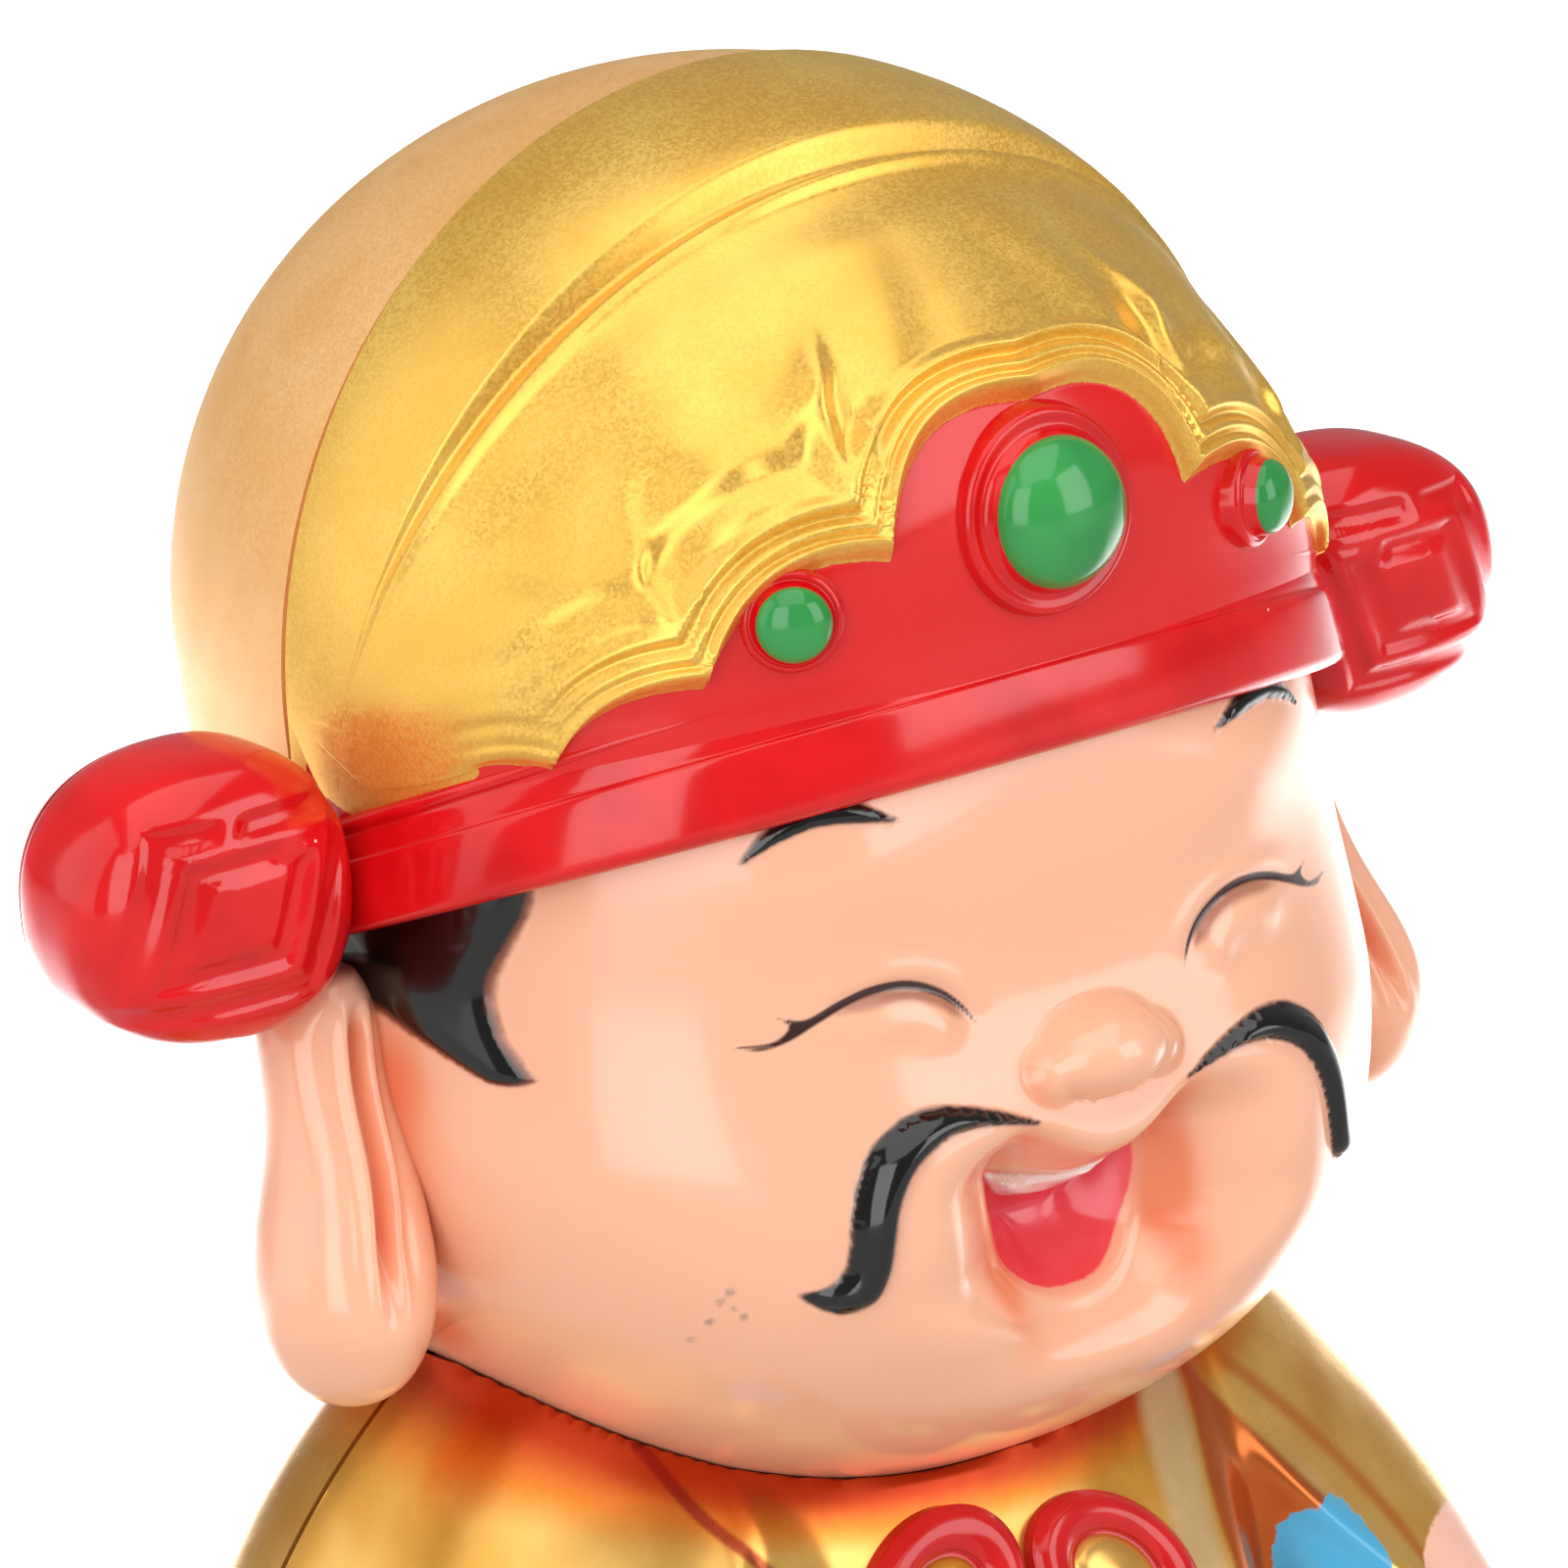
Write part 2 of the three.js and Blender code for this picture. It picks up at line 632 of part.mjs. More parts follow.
// Relief of the robe's front: two bulging sleeves, the hollow between each sleeve and the chest,
// the sleeve's rim, and the back of a hand that lies in the sleeve. Places are shares of the
// body's half width sideways, and of the head's level downward.
function robeRelief(x, level) {
  const side = Math.abs(x) / bodyHalfWidth;
  const down = -level / headLevel;
  const fall = clamp(2 * down - 1, 0, 1);
  const hollow = -hollowDepth * mix(0.13, 1, rise(down, 0.54, 0.73));
  const rim = rimHeight * rise(down, 0.5, 0.62);
  const hand = handSwell * bell(down - 0.83, 0.15);
  const sleeve = sleeveSwell * rise(down, 0.54, 0.81);
  const chest = chestSwell * rise(down, 0.46, 0.65);
  return (
    hollow * bell(side - mix(0.386, 0.467, fall), mix(0.027, 0.09, fall)) +
    rim * bell(side - mix(0.407, 0.648, rise(down, 0.52, 0.77)), 0.048) +
    hand * bell(side - 0.753, 0.102) +
    sleeve * bell(side - 0.723, 0.241) +
    chest * (1 - rise(side, 0.3, 0.377))
  );
}

function robePoint(bearing, level) {
  const part = clamp((level - bodyLevel) / shoulderRise, 0, 1);
  const widthLeft = (1 - part ** shoulderRoundness) ** (1 / shoulderRoundness);
  const front = Math.cos(bearing) > 0;
  const depthLeft = Math.sqrt(1 - part ** 2) ** (front ? 1.2 : 1);
  const sine = Math.sin(bearing);
  const cosine = Math.cos(bearing);
  const x = bodyHalfWidth * widthLeft * Math.sign(sine) * Math.abs(sine) ** 0.9;
  const depth = front ? bodyFrontDepth : bodyBackDepth;
  const plain = depth * depthLeft * Math.sign(cosine) * Math.abs(cosine) ** 0.9;
  const relief = robeRelief(x, level) * rise(cosine, 0.05, 0.4) * depthLeft;
  return new THREE.Vector3(bodyShift + x, seamY - plain - relief, level - shoulderSlant * x);
}

// The robe, from below the underside up to its top, which the collar's hollow takes away.
function robeForm(around = 44, along = 13) {
  const top = bodyLevel + shoulderRise;
  const bottom = -headLevel - 3;
  const rings = Array.from({ length: along }, (_, row) => {
    const level = mix(bottom, top - 0.4, 1 - (1 - row / (along - 1)) ** 1.3);
    return Array.from({ length: around }, (_, i) => {
      const turn = (2 * i) / around - 1;
      return robePoint(Math.PI * (0.75 * turn + 0.25 * turn ** 3), level);
    });
  });
  const end = (level) => new THREE.Vector3(0, seamY, level);
  return ringSolid(end(bottom), rings, end(top));
}

// The neck that carries the head, hidden under the jaw.
function neck() {
  const height = headLevel * 0.4;
  const post = new THREE.CylinderGeometry(neckRadius, neckRadius, height, 24);
  const matrix = new THREE.Matrix4().makeTranslation(0, seamY, neckLevel - fitGap - height / 2);
  return geometrySolid(post, matrix.multiply(new THREE.Matrix4().makeRotationX(Math.PI / 2)));
}

// One lobe of the red and gold ornament on the chest: a round rim round a low dome.
function emblemLobe(side) {
  const profile = [
    [0, -3],
    [emblemRadius, -3],
    [emblemRadius, 0.9],
    [emblemRadius - 0.6, 1.4],
    [emblemRadius - 1.8, 1.3],
    [emblemRadius - 2.1, 0.9],
    [0, 1.3],
  ];
  const lathe = new THREE.LatheGeometry(
    profile.map(([out, height]) => new THREE.Vector2(out, height)),
    18,
  );
  const skin = robePoint(Math.asin((emblemX / bodyHalfWidth) ** 1.1), emblemLevel);
  const outward = new THREE.Vector3(side * 0.1, -1, 0.45).normalize();
  const turn = new THREE.Quaternion().setFromUnitVectors(new THREE.Vector3(0, 1, 0), outward);
  const place = new THREE.Vector3(emblemShift + side * emblemX, skin.y, emblemLevel);
  return geometrySolid(lathe, new THREE.Matrix4().compose(place, turn, new THREE.Vector3(1, 1, 1)));
}

function bodySolids() {
  const jaw = headForm(cupGap, 28, 8, neckLevel, widestLevel);
  const cup = joined([jaw, ...mirrored((side) => ear(side, fitGap))]);
  const robe = robeForm().subtract(cup).add(neck()).intersect(aboveSpace(-headLevel));
  const lobes = joined(mirrored(emblemLobe)).subtract(cup);
  return {
    front: robe.add(lobes).intersect(halfSpace(-1)),
    back: robe.intersect(halfSpace(1)),
  };
}

// The figure
const plastic = (color, roughness) => new THREE.MeshStandardMaterial({ color, roughness, metalness: 0 });
const lacquer = (color, roughness) => new THREE.MeshStandardMaterial({ color, roughness, metalness: 0.9 });

function meshOf(name, solid, material) {
  const { vertProperties, triVerts } = solid.getMesh();
  const geometry = new THREE.BufferGeometry();
  geometry.setAttribute("position", new THREE.BufferAttribute(new Float32Array(vertProperties), 3));
  geometry.setIndex(new THREE.BufferAttribute(new Uint32Array(triVerts), 1));
  geometry.computeVertexNormals();
  const mesh = new THREE.Mesh(geometry, material);
  mesh.name = name;
  return mesh;
}

const hat = hatSolids();
const body = bodySolids();
const bust = new THREE.Group();
bust.add(
  meshOf("head", headSolid(), plastic(0xfdbe9e, 0.25)),
  meshOf("hat_front", hat.front, lacquer(0xd9a93a, 0.32)),
  meshOf("hat_back", hat.back, lacquer(0xe0b070, 0.3)),
  meshOf("body_front", body.front, lacquer(0xd8a040, 0.18)),
  meshOf("body_back", body.back, lacquer(0xd8a548, 0.22)),
);
bust.position.z = headLevel;

const figure = new THREE.Group();
figure.add(bust);

export default figure;
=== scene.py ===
"""A moulded plastic wealth god in a gold hat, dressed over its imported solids.

Lengths are millimetres and levels are counted from the head's own level until a mesh is made.
The figure faces -Y, +X is the picture's right and +Z is up.
"""
import sys
import logging
import math
from dataclasses import dataclass
from enum import Enum
from typing import Any, Callable

import bpy
import numpy as np
from mathutils import Matrix, Vector


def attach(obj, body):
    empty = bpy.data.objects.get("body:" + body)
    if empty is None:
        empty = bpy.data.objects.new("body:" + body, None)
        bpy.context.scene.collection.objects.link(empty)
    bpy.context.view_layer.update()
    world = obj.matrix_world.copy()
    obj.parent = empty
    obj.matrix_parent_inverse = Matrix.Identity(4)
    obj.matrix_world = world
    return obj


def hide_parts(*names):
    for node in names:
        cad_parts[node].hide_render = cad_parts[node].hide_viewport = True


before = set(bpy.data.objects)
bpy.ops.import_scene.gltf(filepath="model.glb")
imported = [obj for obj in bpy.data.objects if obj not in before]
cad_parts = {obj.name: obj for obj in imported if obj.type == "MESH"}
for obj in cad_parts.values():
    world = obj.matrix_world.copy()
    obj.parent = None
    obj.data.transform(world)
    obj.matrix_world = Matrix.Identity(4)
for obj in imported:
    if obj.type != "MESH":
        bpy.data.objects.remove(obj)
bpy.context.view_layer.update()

log = logging.getLogger("figure")

Array = np.ndarray
Pair = tuple[float, float]
Socket = Any  # a node's socket, or the plain value that would stand in one

MM = 0.001
HEAD_LEVEL = 52.0  # the head's own level above the underside
SEAM_Y = -0.4  # plane where the front and back mouldings meet
SEAM_GAP = 0.3
SQUARENESS = 2.5  # exponent of the ovals of the head and hat in front, seen from above
FAR = 9.0  # what a distance mark holds where its paint is nowhere near
QUARTER = math.pi / 2
SIDES = (-1.0, 1.0)


def bell(distance: Array, width: float) -> Array:
    """Smooth bump of height 1 at distance 0."""
    return np.exp(-((distance / width) ** 2))


def rise(value: Array, start: float, end: float) -> Array:
    """Smooth step from 0 at start to 1 at end."""
    t = np.clip((value - start) / (end - start), 0, 1)
    return t * t * (3 - 2 * t)


def span(value: Array, up: Pair, down: Pair) -> Array:
    """1 between a smooth step up and a smooth step down."""
    return rise(value, *up) * (1 - rise(value, *down))


def plump(inside: Array, width: float) -> Array:
    """Height, up to 1, of a thick layer that rounds over within width of its edge."""
    return np.sqrt(1 - (1 - np.clip(inside / width, 0, 1)) ** 2)


def mix(low: Any, high: Any, share: Any) -> Any:
    """Straight blend from low to high."""
    return low + (high - low) * share


def blended_max(softness: float, *heights: Array) -> Array:
    """Highest of several heights, with a fillet where they cross."""
    return softness * np.logaddexp.reduce([height / softness for height in heights])


def waved(value: Array, stations: list[Pair] | tuple[Pair, ...]) -> Array:
    """Height along a moulded profile that runs level at each of its stations.

    Args:
        value: distances along the profile.
        stations: its (distance, height) pairs.
    Returns:
        The height at each distance.
    """
    places, heights = np.array(stations).T
    index = np.clip(np.searchsorted(places, value, side="right") - 1, 0, len(places) - 2)
    return mix(heights[index], heights[index + 1],
               rise(value - places[index], 0, places[index + 1] - places[index]))


def even_stations(start: float, end: float, spacing: Callable[[Array], Array]) -> Array:
    """Stations as far apart as a spacing function asks at each place.

    Args:
        start: the first station.
        end: the last one.
        spacing: the distance between stations wanted at each place.
    Returns:
        The stations, start and end among them.
    """
    fine = np.linspace(start, end, 4001)
    crowd = np.concatenate([[0], np.cumsum(np.diff(fine) / spacing((fine[1:] + fine[:-1]) / 2))])
    count = max(2, int(round(crowd[-1])))
    return np.interp(np.linspace(0, crowd[-1], count + 1), crowd, fine)


def bracket(test: Callable[[Array], Array], low: Array, high: Array,
            rounds: int) -> tuple[Array, Array]:
    """Closes in on where a rising test first holds.

    Args:
        test: says for each place whether it holds there.
        low: places where it doesn't hold.
        high: places where it does.
        rounds: how often the gap is halved.
    Returns:
        The last places below and the first places above.
    """
    for _ in range(rounds):
        middle = (low + high) / 2
        held = test(middle)
        low, high = np.where(held, low, middle), np.where(held, middle, high)
    return low, high


def plan_oval(bearing: Array, half: Array, front: Array, back: Array) -> tuple[Array, Array]:
    """Place on an oval seen from above.

    Args:
        bearing: angle from straight ahead.
        half: half width of the oval.
        front: depth in front of its middle.
        back: depth behind it.
    Returns:
        The distances sideways and forward.
    """
    sine, cosine = np.sin(bearing), np.cos(bearing)
    depth = np.where(cosine > 0, front, back)
    power = np.where(cosine > 0, SQUARENESS, 2.0)
    reach = ((np.abs(sine) / half) ** power + (np.abs(cosine) / depth) ** power) ** (-1 / power)
    return reach * sine, reach * cosine


def beside_seam(y: Array, front: bool) -> Array:
    """Depths held on one moulding's side of the seam.

    Args:
        y: the depths.
        front: whether the moulding is the front one.
    Returns:
        The held depths.
    """
    if front:
        return np.minimum(y, SEAM_Y - SEAM_GAP / 2)
    return np.maximum(y, SEAM_Y + SEAM_GAP / 2)


def half_turn(front: bool, count: int) -> Array:
    """Bearings round the front or the back half."""
    return np.linspace(-QUARTER, QUARTER, count) + (0 if front else math.pi)


@dataclass(frozen=True)
class Bump:
    """Smooth oval swelling seen from the front, or a hollow where its height is negative."""

    height: float
    x: float
    level: float
    wide: float
    tall: float

    def at(self, x: Array, level: Array) -> Array:
        """Its height at places."""
        return self.height * bell(x - self.x, self.wide) * bell(level - self.level, self.tall)


@dataclass(frozen=True)
class Spline:
    """Smooth open curve through (x, level) corners, seen from the front."""

    corners: tuple[Pair, ...]
    steps: int = 8

    def route(self) -> Array:
        """Lays points along the curve, one every few tenths of a millimetre.

        Returns:
            The points, as an array (point, 2).
        """
        c = np.array(self.corners, float)
        c = np.vstack([2 * c[0] - c[1], c, 2 * c[-1] - c[-2]])
        t = np.linspace(0, 1, self.steps, endpoint=False)[:, None]
        parts = []
        for a, b, d, e in zip(c[:-3], c[1:-2], c[2:-1], c[3:]):
            parts.append(0.5 * (2 * b + (d - a) * t + (2 * a - 5 * b + 4 * d - e) * t**2
                                + (3 * b - a - 3 * d + e) * t**3))
        return np.vstack(parts + [c[-2][None]])

    def nearest(self, x: Array, level: Array) -> tuple[Array, Array, Array]:
        """Distance from the curve, share of it passed, and side as +1 or -1."""
        return nearest_on(self.route(), x, level)


def nearest_on(route: Array, x: Array, level: Array) -> tuple[Array, Array, Array]:
    """Finds the nearest place on a polyline.

    Args:
        route: its points.
        x: sideways places.
        level: their levels.
    Returns:
        The distance, the share of the line passed, and the side as +1 or -1.
    """
    best = np.full(x.shape, 1e9)
    share = np.zeros(x.shape)
    side = np.ones(x.shape)
    for i, (p, q) in enumerate(zip(route[:-1], route[1:])):
        step = q - p
        dx, dz = x - p[0], level - p[1]
        t = np.clip((dx * step[0] + dz * step[1]) / (step @ step + 1e-12), 0, 1)
        gap = np.hypot(dx - t * step[0], dz - t * step[1])
        nearer = gap < best
        best = np.where(nearer, gap, best)
        share = np.where(nearer, (i + t) / (len(route) - 1), share)
        side = np.where(nearer, np.sign(step[0] * dz - step[1] * dx), side)
    return best, share, side


@dataclass(frozen=True)
class Region:
    """Painted or raised area, bounded by splines that follow one another."""

    sides: tuple[tuple[Pair, ...], ...]
    steps: int = 7
    margin: float = 3.0  # how far outside its edge the distance is worked out

    def depth(self, x: Array, level: Array, mirror: float = 1.0) -> Array:
        """Distance inside the area's edge, negative outside.

        Args:
            x: sideways places.
            level: their levels.
            mirror: -1 for the area's mirror image.
        Returns:
            The signed distance, or -FAR beyond the margin.
        """
        route = np.vstack([Spline(side, self.steps).route() for side in self.sides])
        route = np.vstack([route, route[:1]]) * (mirror, 1)
        low, high = route.min(0) - self.margin, route.max(0) + self.margin
        near = (x > low[0]) & (x < high[0]) & (level > low[1]) & (level < high[1])
        out = np.full(x.shape, -FAR)
        px, pz = x[near], level[near]
        best = nearest_on(route, px, pz)[0]
        inside = np.zeros(px.shape, bool)
        for p, q in zip(route[:-1], route[1:]):
            crosses = (p[1] > pz) != (q[1] > pz)
            rate = (q[0] - p[0]) / np.where(q[1] == p[1], 1e-9, q[1] - p[1])
            inside ^= crosses & (px < p[0] + (pz - p[1]) * rate)
        out[near] = np.where(inside, best, -best)
        return out


def signed_volume(points: Array, faces: Array) -> float:
    """Six times the volume between faces and the origin.

    Args:
        points: the points.
        faces: their indices, one face in a row.
    Returns:
        The signed volume, positive where the faces turn outward.
    """
    first, total = points[faces[:, 0]], 0.0
    for k in range(1, faces.shape[1] - 1):
        fan = np.cross(points[faces[:, k]], points[faces[:, k + 1]])
        total += np.einsum("ij,ij->", first, fan)
    return total


class Moulding:
    """Closed skins, gathered in millimetres, that become one object of the scene."""

    def __init__(self, name: str) -> None:
        """Starts an empty moulding.

        Args:
            name: the object's name.
        """
        self.name = name
        self.points: list[Array] = []
        self.faces: list[tuple[Array, int]] = []
        self.marks: list[tuple[int, dict[str, Array]]] = []
        self.count = 0

    def skin(self, rings: Array, finish: int = 0, marks: dict[str, Array] | None = None,
             looped: bool = True) -> None:
        """Adds one closed skin.

        Args:
            rings: rings of points, as an array (ring, point, 3).
            finish: index of its material.
            marks: for each mark's name, its value at each point, as an array (ring, point).
            looped: whether each ring closes on itself; if not, the patch's edge is capped.
        """
        rows, cols = rings.shape[:2]
        index = np.arange(rows * cols).reshape(rows, cols)
        right = np.roll(index, -1, axis=1) if looped else index[:, 1:]
        left = index if looped else index[:, :-1]
        quads = np.stack([left[:-1], right[:-1], right[1:], left[1:]], -1).reshape(-1, 4)
        if looped:
            rims = [index[0][::-1], index[-1]]
        else:
            rims = [np.concatenate([index[0][::-1], index[1:, 0], index[-1, 1:],
                                    index[-2:0:-1, -1]])]
        flat = rings.reshape(-1, 3)
        points = np.vstack([flat] + [flat[rim].mean(0) for rim in rims])
        caps = np.vstack([np.stack([rim, np.roll(rim, -1), np.full(len(rim), rows * cols + k)], -1)
                          for k, rim in enumerate(rims)])
        outward = signed_volume(points, quads) + signed_volume(points, caps) > 0
        for faces in (quads, caps):
            turned = faces if outward else faces[:, ::-1]
            self.faces.append((turned + self.count, finish))
        held = {}
        for key, value in (marks or {}).items():
            value = np.broadcast_to(value, (rows, cols)).reshape(-1)
            held[key] = np.concatenate([value, [value[rim].mean() for rim in rims]])
        self.points.append(points)
        self.marks.append((len(points), held))
        self.count += len(points)

    def make(self, materials: list[bpy.types.Material], node: str, slot: str,
             sharp_degrees: float = 48) -> bpy.types.Object:
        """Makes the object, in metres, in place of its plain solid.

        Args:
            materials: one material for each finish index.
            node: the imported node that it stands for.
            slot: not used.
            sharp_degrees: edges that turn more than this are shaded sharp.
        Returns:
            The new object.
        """
        points = (np.vstack(self.points) + (0, 0, HEAD_LEVEL)) * MM
        loops = np.concatenate([faces.reshape(-1) for faces, _ in self.faces])
        sizes = np.concatenate([np.full(len(faces), faces.shape[1]) for faces, _ in self.faces])
        finishes = np.concatenate([np.full(len(faces), finish) for faces, finish in self.faces])
        mesh = bpy.data.meshes.new(self.name)
        mesh.vertices.add(len(points))
        mesh.vertices.foreach_set("co", points.astype(np.float32).ravel())
        mesh.loops.add(len(loops))
        mesh.loops.foreach_set("vertex_index", loops.astype(np.int32))
        mesh.polygons.add(len(sizes))
        starts = np.concatenate([[0], np.cumsum(sizes)[:-1]])
        mesh.polygons.foreach_set("loop_start", starts.astype(np.int32))
        mesh.polygons.foreach_set("material_index", finishes.astype(np.int32))
        mesh.polygons.foreach_set("use_smooth", np.ones(len(sizes), bool))
        mesh.update(calc_edges=True)
        for key in sorted({key for _, held in self.marks for key in held}):
            values = [held.get(key, np.full(count, -FAR)) for count, held in self.marks]
            layer = mesh.attributes.new(key, "FLOAT", "POINT")
            layer.data.foreach_set("value", np.concatenate(values).astype(np.float32))
        mesh.set_sharp_from_angle(angle=math.radians(sharp_degrees))
        for material in materials:
            mesh.materials.append(material)
        made = bpy.data.objects.new(self.name, mesh)
        bpy.context.scene.collection.objects.link(made)
        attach(made, "root")
        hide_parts(node)
        log.info("%s: %d points, %d triangles", self.name, len(points), (sizes - 2).sum())
        return made


def lathe(profile: list[Pair], place: Array, outward: Array, around: int) -> Array:
    """Rings of a turned form.

    Args:
        profile: (radius, height) pairs from the foot to the tip.
        place: the foot's middle.
        outward: direction of the axis.
        around: points in each ring.
    Returns:
        The rings, as an array (ring, point, 3).
    """
    axis = outward / np.linalg.norm(outward)
    across = np.cross(axis, (0, 0, 1.0))
    across /= np.linalg.norm(across)
    turn = np.linspace(0, 2 * math.pi, around, endpoint=False)[:, None]
    circle = across * np.cos(turn) + np.cross(axis, across) * np.sin(turn)
    return np.array([place + circle * radius + axis * height for radius, height in profile])


def rounded_profile(stations: list[Pair], steps: int = 5) -> list[Pair]:
    """A turned or swept profile with its corners eased by a smooth curve."""
    return [tuple(point) for point in Spline(tuple(stations), steps).route()]


# Shading


def linear(hex_colour: str) -> tuple[float, float, float, float]:
    """Linear colour of an sRGB hex value such as D9A93A."""
    parts = [int(hex_colour[i:i + 2], 16) / 255 for i in (0, 2, 4)]
    return (*[c / 12.92 if c <= 0.04045 else ((c + 0.055) / 1.055) ** 2.4 for c in parts], 1.0)


def add_node(tree: bpy.types.NodeTree, kind: str, settings: dict[str, Any] | None = None,
             inputs: dict[Any, Socket] | None = None) -> bpy.types.Node:
    """Adds a node with its settings and links.

    Args:
        tree: the material's tree.
        kind: the node's type without its ShaderNode prefix.
        settings: properties by name.
        inputs: values or sockets by input name or index.
    Returns:
        The new node.
    """
    node = tree.nodes.new("ShaderNode" + kind)
    for key, value in (settings or {}).items():
        setattr(node, key, value)
    for key, value in (inputs or {}).items():
        if isinstance(value, bpy.types.NodeSocket):
            tree.links.new(value, node.inputs[key])
        else:
            node.inputs[key].default_value = value
    return node


@dataclass(frozen=True)
class Gloss:
    """How a finish takes the light: values for the shader's own sockets."""

    roughness: float
    metallic: float = 0.0
    ior: float = 1.5
    coat: float = 0.0
    coat_roughness: float = 0.05
    subsurface: float = 0.0


@dataclass(frozen=True)
class Paint:
    """A layer over a moulding, bounded by a mark that holds the distance inside its edge."""

    mark: str
    colour: str
    softness: float  # half width of its edge, mm
    wobble: float = 0.0  # how far its edge wanders, mm
    wander: float = 0.5  # length of one wander, mm
    inset: float = 0.0  # how far inside the mark's edge the paint ends, mm
    opacity: float = 1.0
    metallic: float | None = None
    roughness: float | None = None


class Surface:
    """A material being built: its tree, coordinates and shader."""

    def __init__(self, name: str, gloss: Gloss) -> None:
        """Makes the material with one shader.

        Args:
            name: the material's name.
            gloss: how it takes the light.
        """
        self.material = bpy.data.materials.new(name)
        self.material.use_nodes = True
        self.tree = self.material.node_tree
        self.tree.nodes.clear()
        self.shader = add_node(self.tree, "BsdfPrincipled", None, {
            "Roughness": gloss.roughness, "Metallic": gloss.metallic, "Coat Weight": gloss.coat,
            "Coat Roughness": gloss.coat_roughness, "Subsurface Weight": gloss.subsurface,
        })
        if gloss.metallic < 0.5:
            self.shader.inputs["IOR"].default_value = gloss.ior
        add_node(self.tree, "OutputMaterial", None, {"Surface": self.shader.outputs[0]})
        self.place = add_node(self.tree, "TexCoord").outputs["Object"]

    def noise(self, size_mm: float, detail: float = 2.0) -> Socket:
        """Factor of a noise whose lumps are about size_mm across."""
        return add_node(self.tree, "TexNoise", None, {
            "Vector": self.place, "Scale": 1 / (size_mm * MM), "Detail": detail}).outputs[0]

    def cells(self, size_mm: float) -> tuple[Socket, Socket, Socket]:
        """Flakes or grains: random cells of a like size.

        Args:
            size_mm: about how far they are across.
        Returns:
            The distance from a cell's middle, and two random shades of it.
        """
        node = add_node(self.tree, "TexVoronoi", None, {
            "Vector": self.place, "Scale": 1 / (size_mm * MM)})
        shades = add_node(self.tree, "SeparateColor", None, {0: node.outputs["Color"]}).outputs
        return node.outputs["Distance"], shades[0], shades[1]

    def math(self, operation: str, a: Socket, b: Socket) -> Socket:
        """Result of an operation on two numbers."""
        return add_node(self.tree, "Math", {"operation": operation}, {0: a, 1: b}).outputs[0]

    def fade(self, value: Socket, start: float, end: float, low: float = 0.0,
             high: float = 1.0) -> Socket:
        """Smooth change from one value to another.

        Args:
            value: what drives it.
            start: where the change begins.
            end: where it ends.
            low: the result before it.
            high: the result after it.
        Returns:
            The result.
        """
        return add_node(self.tree, "MapRange", {"interpolation_type": "SMOOTHSTEP"}, {
            "Value": value, "From Min": start, "From Max": end, "To Min": low, "To Max": high,
        }).outputs[0]

    def mark(self, name: str) -> Socket:
        """A mark that the mesh carries."""
        return add_node(self.tree, "Attribute", {"attribute_name": name}).outputs["Fac"]

    def blend(self, share: Socket, under: Socket, over: Socket) -> Socket:
        """Colour between two colours."""
        return add_node(self.tree, "Mix", {"data_type": "RGBA"},
                        {0: share, 6: under, 7: over}).outputs[2]

    def between(self, share: Socket, under: Socket, over: float | None) -> Socket:
        """Value of a surface that a layer partly covers.

        Args:
            share: how much it covers.
            under: the value below.
            over: the layer's value, or None where it changes nothing.
        Returns:
            The mixed value.
        """
        if over is None:
            return under
        return add_node(self.tree, "Mix", None, {0: share, 2: under, 3: over}).outputs[0]

    def cover(self, paint: Paint) -> Socket:
        """Works out where a paint layer lies.

        Args:
            paint: the layer.
        Returns:
            The share of the surface that it covers.
        """
        inside = self.math("SUBTRACT", self.mark(paint.mark), paint.inset)
        if paint.wobble:
            centred = self.math("SUBTRACT", self.noise(paint.wander), 0.5)
            inside = self.math("ADD", inside, self.math("MULTIPLY", centred, 2 * paint.wobble))
        return self.fade(inside, -paint.softness, paint.softness, 0, paint.opacity)

    def finish(self, colour: Socket, metallic: Socket = None, roughness: Socket = None,
               paints: tuple[Paint, ...] = (), bump: tuple[Socket, float] | None = None
               ) -> bpy.types.Material:
        """Lays the paints on and joins the results to the shader.

        Args:
            colour: base colour.
            metallic: metallic value, where the paints change it.
            roughness: roughness, where it varies.
            paints: the painted layers, lowest first.
            bump: a fine height, and what its full range stands for in millimetres.
        Returns:
            The finished material.
        """
        for paint in paints:
            share = self.cover(paint)
            colour = self.blend(share, colour, linear(paint.colour))
            metallic = self.between(share, metallic, paint.metallic)
            roughness = self.between(share, roughness, paint.roughness)
        results = {"Base Color": colour, "Metallic": metallic, "Roughness": roughness}
        for key, value in results.items():
            if isinstance(value, bpy.types.NodeSocket):
                self.tree.links.new(value, self.shader.inputs[key])
            elif value is not None:
                self.shader.inputs[key].default_value = value
        if bump:
            node = add_node(self.tree, "Bump", None, {
                "Strength": 1.0, "Distance": bump[1] * MM, "Height": bump[0]})
            self.tree.links.new(node.outputs[0], self.shader.inputs["Normal"])
        return self.material


